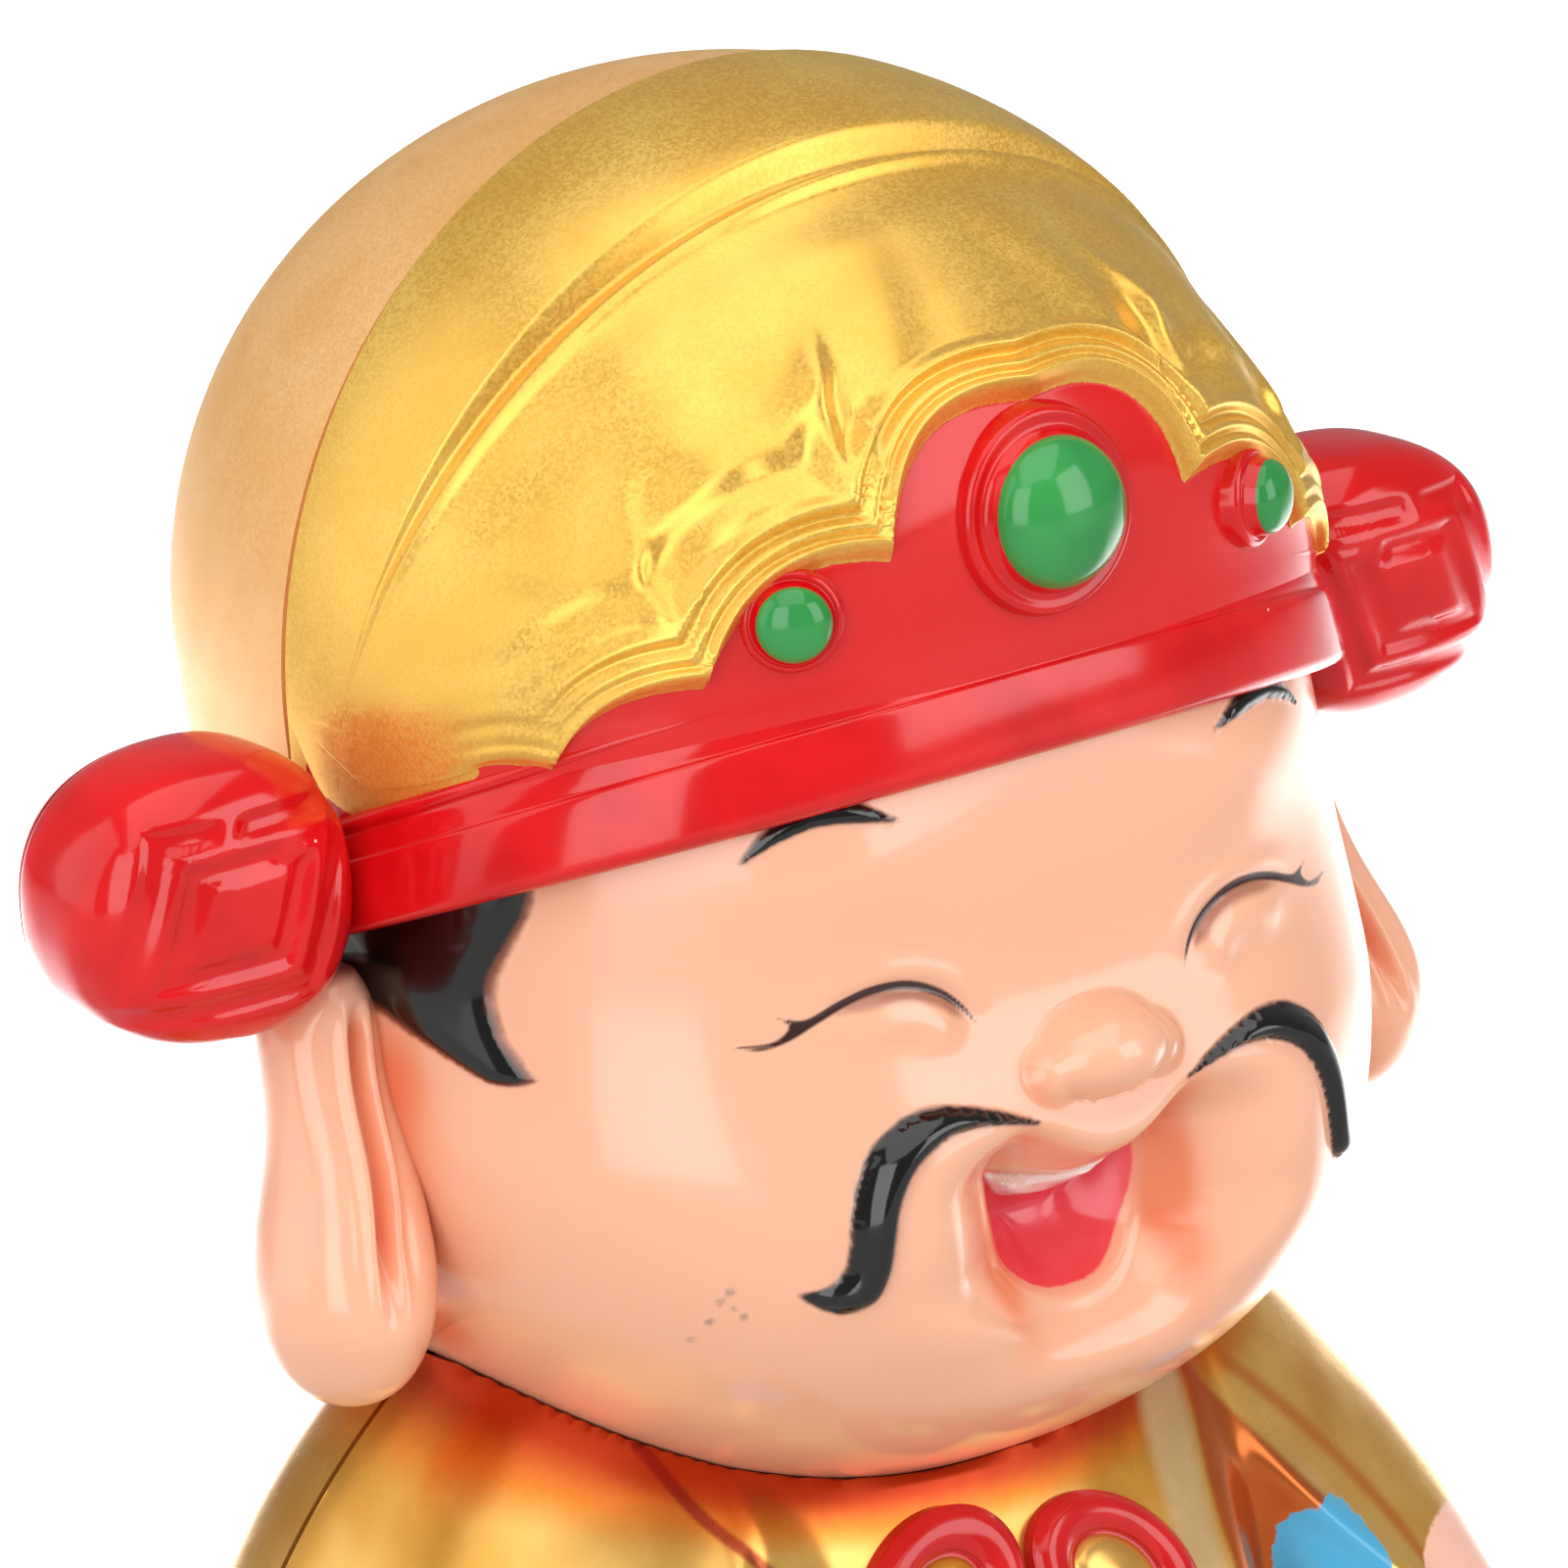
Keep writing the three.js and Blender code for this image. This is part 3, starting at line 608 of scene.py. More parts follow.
@dataclass(frozen=True)
class FleshPlastic:
    """Soft PVC, slush moulded and sprayed: glossy and faintly waxy, with orange shade painted into
    its creases.
    """

    colour: str = "FABB9A"
    # the orange shade painted into the creases
    crease: str = "F0875E"
    gloss: Gloss = Gloss(roughness=0.2, ior=1.52, coat=0.25, coat_roughness=0.08, subsurface=0.12)
    scatter: tuple[float, float, float] = (1.0, 0.42, 0.25)
    scatter_mm: float = 2.2
    cloud_mm: float = 9.0
    peel_mm: float = 1.6
    peel_height_mm: float = 0.006

    def make(self, *paints: Paint) -> bpy.types.Material:
        """Makes the material.

        Args:
            paints: the painted layers, lowest first.
        Returns:
            The finished material.
        """
        s = Surface("flesh_plastic", self.gloss)
        s.shader.inputs["Subsurface Radius"].default_value = self.scatter
        s.shader.inputs["Subsurface Scale"].default_value = self.scatter_mm * MM
        # painted shade: the creases turn orange, under a faint random cloud of tone
        cloudy = s.fade(s.noise(self.cloud_mm), 0.3, 0.7, -0.08, 0.08)
        share = s.fade(s.math("ADD", s.mark("crease"), cloudy), 0.05, 1.0)
        # the mould's skin has a faint orange peel, drawn coarser than it is so that it shows
        return s.finish(s.blend(share, linear(self.colour), linear(self.crease)), None,
                        self.gloss.roughness, paints,
                        (s.noise(self.peel_mm, 1), self.peel_height_mm))


@dataclass(frozen=True)
class GoldLacquer:
    """Sprayed lacquer full of bronze flakes about 0.1 mm across: satin, grainy and warm."""

    name: str
    colour: str
    deep: str
    gloss: Gloss
    grain: float
    flake_mm: float = 0.13  # a little coarser than real, so that the flakes show
    spray_mm: float = 5.0

    def make(self, *paints: Paint) -> bpy.types.Material:
        """Makes the material.

        Args:
            paints: the painted layers, lowest first.
        Returns:
            The finished material.
        """
        s = Surface(self.name, self.gloss)
        tone = s.cells(self.flake_mm)[1]
        spray = s.math("ADD", s.math("MULTIPLY", tone, self.grain), s.noise(self.spray_mm))
        colour = s.blend(s.fade(spray, 0.35, 1.15), linear(self.deep), linear(self.colour))
        rough = s.fade(tone, 0, 1, self.gloss.roughness - 0.06, self.gloss.roughness + 0.08)
        return s.finish(colour, self.gloss.metallic, rough, paints, (tone, 0.004 * self.grain))


@dataclass(frozen=True)
class PlatedGold:
    """Vacuum plated gold under clear lacquer: a soft mirror, with the face's orange reflection
    painted into it under the chin.
    """

    name: str
    colour: str = "EDBD62"
    deep: str = "D79A38"
    # colours of the face's reflection, painted into the plating under the chin
    glow: str = "E07A18"
    painted_chin_reflection_deep: str = "C02E08"
    gloss: Gloss = Gloss(roughness=0.24, metallic=0.62)
    cloud_mm: float = 7.0
    haze_mm: float = 2.5

    def make(self, *paints: Paint) -> bpy.types.Material:
        """Makes the material.

        Args:
            paints: the painted layers, lowest first.
        Returns:
            The finished material.
        """
        s = Surface(self.name, self.gloss)
        cloudy = s.fade(s.noise(self.cloud_mm), 0.35, 0.65)
        colour = s.blend(cloudy, linear(self.deep), linear(self.colour))
        # painted reflection: right under the chin the plating mirrors nothing but the shaded flesh
        # and itself, so their orange is painted into its colour
        for start, end, warm in ((0.02, 0.5, self.glow), (0.35, 0.85, self.painted_chin_reflection_deep)):
            colour = s.blend(s.fade(s.mark("glow"), start, end, 0, 0.9), colour, linear(warm))
        rough = s.fade(s.noise(self.haze_mm), 0.3, 0.7,
                       self.gloss.roughness - 0.03, self.gloss.roughness + 0.05)
        return s.finish(colour, self.gloss.metallic, rough, paints)


@dataclass(frozen=True)
class GlossEnamel:
    """Thick sprayed enamel, wet looking, with white dust specks caught in it."""

    name: str
    colour: str
    deep: str
    dust: str = "F6D9D2"
    gloss: Gloss = Gloss(roughness=0.14, ior=1.46, coat=0.15, coat_roughness=0.03)
    cloud_mm: float = 4.0
    dust_apart_mm: float = 2.6
    dust_edge: Pair = (0.022, 0.034)  # grains about 0.1 mm across, as shares of that
    dust_few: Pair = (0.62, 0.66)  # the share of places that hold no grain
    wave_mm: float = 2.2
    wave_height_mm: float = 0.012

    def make(self) -> bpy.types.Material:
        """Makes the material.

        Returns:
            The finished material.
        """
        s = Surface(self.name, self.gloss)
        cloudy = s.fade(s.noise(self.cloud_mm), 0.3, 0.7)
        colour = s.blend(cloudy, linear(self.deep), linear(self.colour))
        distance, _, shade = s.cells(self.dust_apart_mm)
        near, few = s.fade(distance, *self.dust_edge, 1, 0), s.fade(shade, *self.dust_few)
        colour = s.blend(s.math("MULTIPLY", near, few), colour, linear(self.dust))
        # thick enamel pulls into faint waves as it dries
        return s.finish(colour, bump=(s.noise(self.wave_mm, 1), self.wave_height_mm))


# The head


@dataclass(frozen=True)
class HeadShape:
    """The head's oval, in millimetres, the same as its solid's."""

    half_width: float = 24.4
    front_depth: float = 23.1
    back_depth: float = 21.5
    nape: float = 0.62  # share of the back's depth that is left at the nape
    widest: float = -7.9
    above: float = 38.7
    below: float = 21.6
    jaw_reach: float = 5.2
    jaw_level: float = -20.5
    jaw_spread: float = 10.6
    crown: float = 11.0
    neck: float = -28.0
    mouth_hollow: float = 5.6
    mouth_half: Pair = (5.2, 7.0)  # half width of the hollow below and above
    # the eyes' hollow, the cheeks, the dip above the chin and the brow ridge
    forms: tuple[Bump, ...] = (Bump(-1.1, 0, -3, 13, 4.5), Bump(0.9, 9.5, -10.5, 4, 4.5),
                               Bump(-0.5, 0, -18.6, 8, 1.8), Bump(0.8, 11.5, 4, 4.5, 3))

    def taper(self, level: Array) -> Array:
        """How the plan narrows up and down.

        Args:
            level: levels.
        Returns:
            The share of the full plan left at each.
        """
        high = level > self.widest
        power = np.where(high, 2.2, 1.85)
        part = np.abs(level - self.widest) / np.where(high, self.above, self.below)
        return (1 - np.clip(part, 0, 1) ** power) ** (1 / power)

    def broad_relief(self, x: Array, level: Array) -> Array:
        """The face's large forms.

        Args:
            x: sideways places.
            level: their levels.
        Returns:
            How far they stand out.
        """
        side = np.abs(x)
        outer = rise(side, 0.3, 5.0)
        # the hollow's upper edge is the lip, which is highest in the corners
        lip = (mix(-13.3, -11.0, outer), mix(-9.5, -7.9, outer))
        half = mix(*self.mouth_half, rise(level, -18, -14.0))
        hollow = np.exp(-((side / half) ** 2.7)) * span(level, (-20.2, -14.8), lip)
        return sum(form.at(side, level) for form in self.forms) - self.mouth_hollow * hollow

    def skin(self, bearing: Array, level: Array, grow: float = 0.0) -> tuple[Array, Array, Array]:
        """The skin's x, its reach forward of the seam plane, and how far it faces ahead.

        Args:
            bearing: angles from straight ahead.
            level: levels.
            grow: clearance added outward.
        Returns:
            x, the forward reach and the cosine of the bearing.
        """
        sine, cosine = np.sin(bearing), np.cos(bearing)
        back = self.back_depth * mix(self.nape, 1, rise(level, -16, 2))
        across, ahead = plan_oval(bearing, self.half_width, self.front_depth, back)
        taper = self.taper(level)
        x = across * taper * (1 - 0.03 * rise(level, -9, 0))
        jaw = self.jaw_reach * bell(level - self.jaw_level, self.jaw_spread)
        relief = self.broad_relief(x, level) * rise(cosine, 0.1, 0.5)
        reach = ahead * taper + jaw * np.maximum(cosine, 0) + relief
        return x + grow * sine, reach + grow * cosine, cosine

    def holds(self, x: Array, y: Array, level: Array, grow: float) -> Array:
        """Says which places are inside the grown head.

        Args:
            x: sideways places.
            y: their depths.
            level: their levels.
            grow: the clearance that the head is grown by.
        Returns:
            Whether each is inside.
        """
        bearing = np.arctan2(x, SEAM_Y - y)
        for _ in range(6):
            skin_x, reach, _ = self.skin(bearing, level, grow)
            bearing = bearing + np.arctan2(x, SEAM_Y - y) - np.arctan2(skin_x, reach)
        skin_x, reach, _ = self.skin(bearing, level, grow)
        within = np.hypot(x, SEAM_Y - y) < np.hypot(skin_x, reach)
        return within & (level > self.neck - grow)


@dataclass(frozen=True)
class Ball:
    """Oval ball of the nose, standing forward of the seam plane."""

    x: float
    level: float
    middle: float
    wide: float
    deep: float
    tall: float
    steep: float = 0.93  # share of its radius beyond which its side runs straight down

    def reach(self, x: Array, level: Array) -> Array:
        """Forward reach of the ball, which runs on down its sides.

        Args:
            x: sideways places.
            level: their levels.
        Returns:
            The reach from the seam plane.
        """
        out = np.hypot((x - self.x) / self.wide, (level - self.level) / self.tall)
        fall = 2.2 * self.steep / math.sqrt(1 - self.steep**2)
        cap = np.sqrt(1 - np.minimum(out, self.steep) ** 2)
        return self.middle + self.deep * (cap - fall * np.maximum(out - self.steep, 0))


@dataclass(frozen=True)
class Face:
    """The features of the face: moulded relief and the outlines of its paint, as (x, level)."""

    nose: tuple[Ball, ...] = (
        Ball(0.0, -6.15, 23.1, 3.15, 2.9, 1.95), Ball(-2.7, -6.65, 22.8, 1.45, 1.7, 1.25),
        Ball(2.7, -6.65, 22.8, 1.45, 1.7, 1.25))
    mouth_shift: float = -0.6  # the lips are set a little to the side that shows
    mouth_floor: float = 1.9
    moustache_height: float = 0.8
    brow_height: float = 0.3
    dirt: tuple[tuple[float, float, float], ...] = (
        (-17.06, -13.33, 0.2), (-17.32, -13.79, 0.16), (-16.54, -14.5, 0.15),
        (-17.5, -14.74, 0.18), (-17.87, -15.66, 0.13), (-16.9, -14.1, 0.1))
    lid: Spline = Spline(((5.3, -4.2), (6.9, -2.4), (9.0, -1.65), (11.4, -1.95), (13.3, -2.8)))
    moustache: Region = Region((
        ((4.0, -8.28), (5.67, -7.5), (7.14, -6.98), (8.6, -6.66), (10.2, -6.85), (11.7, -7.8),
         (12.5, -9.1), (12.9, -10.4), (13.1, -11.8), (13.4, -12.85), (14.0, -13.4), (14.8, -13.6)),
        ((14.8, -13.6), (14.3, -14.05), (13.4, -14.5), (12.35, -14.1), (11.85, -12.9),
         (11.55, -11.3), (11.15, -9.9), (10.4, -8.75), (9.4, -8.05), (8.2, -7.65), (6.6, -7.68),
         (5.2, -7.95), (4.0, -8.28)),
    ))
    brow: Region = Region((
        ((8.3, 5.4), (9.4, 6.08), (10.35, 6.54), (11.5, 6.65), (12.7, 6.3), (13.7, 5.74),
         (14.3, 5.15), (14.75, 4.55)),
        ((14.75, 4.55), (13.4, 5.3), (11.9, 5.75), (10.5, 5.72), (8.3, 5.4)),
    ))
    eye: Region = Region((
        ((5.4, -4.15), (5.95, -3.1), (6.95, -2.15), (8.4, -1.48), (10.0, -1.38), (11.4, -1.72),
         (12.6, -2.2), (13.2, -2.3), (14.1, -2.05)),
        ((14.1, -2.05), (13.6, -2.5), (14.3, -3.05), (15.7, -3.1)),
        ((15.7, -3.1), (14.8, -3.35), (13.7, -3.1), (12.6, -2.6), (11.3, -2.08), (10.0, -1.78),
         (8.45, -1.86), (7.1, -2.45), (6.15, -3.25), (5.4, -4.15)),
    ))
    mouth: Region = Region((
        ((-4.4, -10.8), (-2.2, -11.8), (0.0, -12.15), (2.2, -11.9), (4.0, -11.3)),
        ((4.0, -11.3), (4.1, -12.4), (3.8, -13.9), (3.1, -15.4), (1.8, -16.55), (0.0, -16.9),
         (-1.8, -16.55), (-3.2, -15.4), (-3.95, -13.8), (-4.35, -12.2), (-4.4, -10.8)),
    ))
    teeth: Region = Region((
        ((-4.3, -10.9), (-2.2, -11.75), (0.0, -12.1), (2.2, -11.85), (4.1, -11.3)),
        ((4.1, -11.3), (2.6, -12.9), (0.0, -13.5), (-2.4, -12.75), (-4.3, -10.9)),
    ))
    hair: Region = Region((
        ((19.0, 14.0), (20.0, 6.0), (20.55, 3.4), (20.9, 2.1), (21.5, 0.4), (21.85, -1.1),
         (21.9, -2.6), (21.75, -3.6), (21.5, -4.5)),
        ((21.5, -4.5), (22.1, -4.8), (22.6, -4.6), (23.3, -3.4), (23.6, -2.2), (23.75, -1.3),
         (23.8, 0.1), (24.0, 3.0), (25.5, 14.0)),
        ((25.5, 14.0), (22.0, 15.0), (19.0, 14.0)),
    ))

    def forward(self, x: Array, level: Array, reach: Array) -> tuple[Array, dict[str, Array]]:
        """Adds the features to the head's front.

        Args:
            x: sideways places.
            level: their levels.
            reach: the plain skin's reach forward of the seam plane.
        Returns:
            The new reach, and the marks that bound the paint.
        """
        marks = {key: np.full(x.shape, -FAR) for key in ("ink", "lash", "smudge", "dirt")}
        reach = blended_max(0.4, reach, *[ball.reach(x, level) for ball in self.nose])
        for side in SIDES:
            strokes, inside = self.strokes(x, level, side)
            lid, smudge = self.eyelid(side * x, level)
            reach = reach + strokes + lid
            marks["ink"] = np.maximum(marks["ink"], inside)
            marks["lash"] = np.maximum(marks["lash"], self.eye.depth(x, level, side))
            marks["smudge"] = np.maximum(marks["smudge"], smudge)
        for px, pz, size in self.dirt:
            marks["dirt"] = np.maximum(marks["dirt"], size - np.hypot((x - px) / 0.8, level - pz))
        inward, mouth = self.open_mouth(x - self.mouth_shift, level)
        return reach - inward, marks | mouth

    def strokes(self, x: Array, level: Array, side: float) -> tuple[Array, Array]:
        """The thick paint of one side's moustache and brow.

        Args:
            x: sideways places.
            level: their levels.
            side: -1 or 1, for the side of the face.
        Returns:
            Its height and its mark.
        """
        moustache = self.moustache.depth(x, level, side)
        brow = self.brow.depth(x, level, side)
        tip = 1 - 0.85 * rise(np.abs(x), 13.2, 14.6)
        height = (self.moustache_height * tip * plump(moustache, 0.95)
                  + self.brow_height * plump(brow, 0.5))
        return height, np.maximum(moustache + 0.1, brow + 0.05)

    def eyelid(self, x: Array, level: Array) -> tuple[Array, Array]:
        """The fold round a closed eye.

        Args:
            x: distances out from the middle of the face.
            level: their levels.
        Returns:
            Its height, and the mark of the brown shade below it.
        """
        gap, share, over = self.lid.nearest(x, level)
        ends = span(share, (0.0, 0.2), (0.6, 1.0))
        below = np.where(over < 0, gap, -gap)
        height = 0.42 * bell(below - 1.3, 0.95) + 0.16 * bell(below + 0.75, 0.5) \
            - 0.22 * bell(gap, 0.32)
        return height * ends, 0.3 - np.abs(below - 0.26) - 0.7 * (1 - ends)

    def open_mouth(self, x: Array, level: Array) -> tuple[Array, dict[str, Array]]:
        """The open mouth with its tongue, teeth and lip bead.

        Args:
            x: sideways places.
            level: their levels.
        Returns:
            How deep it is, and its marks.
        """
        mouth, teeth = self.mouth.depth(x, level), self.teeth.depth(x, level)
        tongue = 0.75 * bell(np.hypot(x / 2.6, (level + 15.4) / 1.5), 1)
        bead = 0.22 * bell(mouth + 0.45, 0.32) * (mouth > -3)
        inward = rise(mouth, -0.1, 2.3) * (self.mouth_floor - tongue)
        inward = inward - 0.8 * rise(teeth, -0.05, 0.35) - bead
        # rim marks painted shade round the mouth's edge, where the lip turns in
        return inward, {"mouth": mouth + 0.06, "teeth": teeth, "rim": mouth + 0.38}


@dataclass(frozen=True)
class Ear:
    """A long ear whose lobe hangs beside the jaw, with a grooved bowl above it."""

    top: float = -1.0
    foot: float = -19.0
    reach: float = 30.9
    lobe: float = 3.9
    around: int = 84
    along: int = 84

    def skin(self, side: float) -> tuple[Array, Array]:
        """One ear.

        Args:
            side: -1 or 1.
        Returns:
            Its rings, and how warm the colour is at each point.
        """
        turn = np.linspace(0, 2 * math.pi, self.around, endpoint=False)
        turn = turn + 0.5 * np.sin(turn - QUARTER)  # crowds the points in front, at the bowl
        turn, t = np.meshgrid(turn, (np.arange(self.along) + 0.5) / self.along)
        rounded = np.sqrt(1 - t**7) * np.sqrt(rise(t, -0.1, 0.16))
        half = mix(2.6, self.lobe, rise(t, 0.25, 0.8)) * rounded
        middle = self.reach - self.lobe - 1.8 * (1 - rise(t, 0, 0.6)) - 0.7 * bell(t - 0.45, 0.2)
        forward = mix(3, 5.7, rise(t, 0.05, 0.7))
        depth = mix(3, 4.9, rise(t, 0.1, 0.8)) * rounded
        bowl = span(t, (0.04, 0.14), (0.56, 0.8))
        # two narrow ridges run down the bowl between its rim and the cheek
        away = (turn - 1.5 * math.pi) * half
        lean = mix(-0.5, 0.6, t)
        ridges = 0.55 * bell(away - lean - 0.75, 0.38) + 0.5 * bell(away - lean + 0.65, 0.34)
        groove = 0.5 * bell(away - lean, 0.4) + 0.3 * bell(away - 0.5 * lean, 1.9) * depth
        scale = 1 - np.clip(bowl * (groove - ridges) / depth, -0.4, 0.6) * (np.sin(turn) < 0.2)
        x = side * (middle + half * np.cos(turn) * mix(1, scale, 0.35))
        y = SEAM_Y - forward + depth * scale * np.sin(turn)
        # painted shade: orange down the bowl's groove and round the ear's root
        warm = bowl * (0.5 * bell(away - lean, 0.5) + 0.25 * bell(away, 2))
        root = 0.5 * bell(np.cos(turn) + 1, 0.6) * (1 - rise(t, 0.85, 1))
        return np.stack([x, y, mix(self.top, self.foot, t)], -1), np.clip(warm + root, 0, 1)


@dataclass(frozen=True)
class Head:
    """The head moulding: skull, face, hair paint and two long ears."""

    shape: HeadShape = HeadShape()
    face: Face = Face()
    ears: Ear = Ear()
    fine: float = 0.17  # spacing of the face's points
    brow_fine: float = 0.19
    side_fine: float = 0.24
    plain: float = 0.42
    behind: float = 1.3
    fine_half: float = 17.2  # half width of the finely meshed face
    fine_levels: tuple[float, float, float] = (-18.0, -0.6, 7.6)  # chin, eyelids, above the brows
    hair_height: float = 0.3
    nape_hairline: float = -13.5
    ear_hairline: float = -6.5

    def grid(self) -> tuple[Array, Array]:
        """Lays out the skull's points, dense where the face is.

        Returns:
            Their bearings and levels.
        """
        width = self.shape.half_width
        chin, lid, brow = self.fine_levels

        def round_it(b: Array) -> Array:
            """Spacing at a bearing."""
            face = np.sin(b) * width < self.fine_half
            spacing = np.where(face, self.fine, self.side_fine)
            return np.where(np.cos(b) > np.where(face, 0, -0.05), spacing, self.behind) / width

        def up_it(v: Array) -> Array:
            """Spacing at a level."""
            brows = np.where((v > lid) & (v < brow), self.brow_fine, self.plain)
            return np.where((v > chin) & (v < lid), self.fine, brows)

        bearings = even_stations(0, math.pi, round_it)
        levels = even_stations(self.shape.neck, self.shape.crown, up_it)
        return np.meshgrid(np.concatenate([-bearings[:0:-1], bearings[:-1]]), levels)

    def skull(self, moulding: Moulding) -> None:
        """Adds the skull with its face.

        Args:
            moulding: the moulding that takes it.
        """
        bearing, level = self.grid()
        x, plain, cosine = self.shape.skin(bearing, level)
        featured, marks = self.face.forward(x, level, plain)
        for key in marks:
            marks[key] = np.where(cosine > 0.1, marks[key], -FAR)
        reach = mix(plain, featured, rise(cosine, 0.1, 0.5))
        hair = np.max([self.face.hair.depth(x, level, side) for side in SIDES], axis=0)
        hairline = mix(self.nape_hairline, self.ear_hairline, rise(cosine, -0.85, -0.05))
        hair = np.where(cosine > -0.03, hair, np.clip(level - hairline, -FAR, 2.0))
        swell = 1 + self.hair_height * plump(hair, 0.6) / np.hypot(x, reach)
        x, reach = x * swell, reach * swell
        marks["hair"] = hair + 0.05
        # painted shade: orange gathered in the face's creases
        marks["crease"] = self.crease(x, level, cosine)
        moulding.skin(np.stack([x, SEAM_Y - reach, level], -1), 0, marks)

    @staticmethod
    def crease(x: Array, level: Array, cosine: Array) -> Array:
        """How deep in a crease each place lies, for the orange shade painted there.

        Args:
            x: sideways places.
            level: their levels.
            cosine: how far each faces ahead.
        Returns:
            The depth, from 0 to about 1.
        """
        side = np.abs(x)
        fold = 1.35 * bell(np.hypot((side - 4.5) / 1.25, (level + 13.0) / 4.2), 1)
        under = 0.25 * bell(level + 19.2, 1.0) * bell(x, 6)
        nose = 0.35 * bell(np.hypot(x / 3.9, (level + 6.3) / 2.5) - 1, 0.2)
        nose = nose * (1 - rise(level, -6, -4.5)) * (cosine > 0.3)
        ear = 1.1 * bell(cosine - 0.12 - 0.1 * rise(level, -18, -4), 0.11)
        ear = ear * span(-level, (1, 6), (17, 21))
        return np.clip(fold + under + nose + ear, 0, 1.1)

    def build(self) -> bpy.types.Object:
        """Makes the head.

        Returns:
            The moulding.
        """
        moulding = Moulding("head_moulding")
        self.skull(moulding)
        for side in SIDES:
            rings, warm = self.ears.skin(side)
            # painted shade of the ears' grooves and roots
            moulding.skin(rings, 0, {"crease": warm})
        flesh = FleshPlastic().make(
            # painted shade round the mouth's edge
            Paint("rim", "F2A184", 0.22, opacity=0.55),
            Paint("mouth", "EE4450", 0.06, wobble=0.05),
            Paint("teeth", "F8E4DC", 0.09, wobble=0.03),
            Paint("smudge", "8E4A30", 0.24, opacity=0.7),
            Paint("lash", "3A1E18", 0.08),
            Paint("dirt", "6E5A50", 0.12, wobble=0.16, wander=0.25, opacity=0.5),
            # each black stroke has a thin brown edge, where its paint ran out
            Paint("hair", "8A4B30", 0.09, wobble=0.06, wander=0.7),
            Paint("hair", "0B0907", 0.08, wobble=0.06, wander=0.7, inset=0.14, roughness=0.1),
            Paint("ink", "45241A", 0.12, wobble=0.05),
            Paint("ink", "0B0907", 0.09, wobble=0.05, inset=0.08, roughness=0.1))
        return moulding.make([flesh], "head", "flesh_plastic", 60)


# The hat


@dataclass(frozen=True)
class HatShape:
    """The hat's form, in millimetres, the same as its solids'."""

    level: float = 9.2
    half_width: float = 23.7
    height: float = 23.2
    back_depth: float = 26.5
    front_depth: float = 24.2
    field_depth: float = 22.2
    band_height: float = 5.7
    band_half: float = 24.9
    band_front: float = 22.9
    band_back: float = 24.6
    band_level: float = 7.0
    band_slope: float = 0.345
    root_y: float = -4.3
    root_level: float = 9.3
    edge_slope: float = 0.2315
    crease_slope: float = 0.36

    def band_floor(self, y: Array) -> Array:
        """Level of the band's lower edge at a depth."""
        return self.band_level - self.band_slope * (y + self.band_front - SEAM_Y)

    def cloth(self, angle: Array, x: Array) -> Array:
        """Reach of the gold cloth in the middle section.

        Args:
            angle: angles up from straight ahead.
            x: sideways places.
        Returns:
            The distance from the dome's centre.
        """
        degrees = np.degrees(angle)
        oval = 1 / np.hypot(np.cos(angle) / self.front_depth, np.sin(angle) / self.height)
        bulge = 1.3 * bell(degrees - 31, 13) * bell(x, 12)
        pinch = 1.1 * bell(degrees - 40, 15) * bell(np.abs(x) - 19, 4)
        return oval - 0.5 * (1 - rise(degrees, 8, 28)) + bulge - pinch

    def field(self, angle: Array) -> Array:
        """Reach of the red field."""
        return self.field_depth + 2 * rise(np.degrees(angle), 6, 32)

    def place(self, x: Array, angle: Array, reach: Array) -> Array:
        """Places points on the hat's front.

        Args:
            x: sideways places.
            angle: angles up from straight ahead.
            reach: distances from the dome's centre in the middle section.
        Returns:
            The points.
        """
        part = np.clip(np.abs(x) / self.half_width, 0, 1)
        power = mix(SQUARENESS, 2, rise(np.degrees(angle), 12, 50))
        squared = (1 - part**power) ** (1 / power)
        return np.stack(np.broadcast_arrays(
            x, SEAM_Y - squared * reach * np.cos(angle),
            self.level + np.sqrt(1 - part**2) * reach * np.sin(angle)), -1)


@dataclass(frozen=True)
class Gather:
    """A long ridge of the cloth above a cusp, or a hollow where its height is negative."""

    height: float
    beside: float  # outward of the line that it follows
    width: float
    begins: Pair  # heights above the cusp between which it comes up
    ends: Pair

    def at(self, beside: Array, up: Array) -> Array:
        """Its height at distances beside its line and above the cusp."""
        height = self.height * bell(beside - self.beside, self.width)
        return height * span(up, self.begins, self.ends)


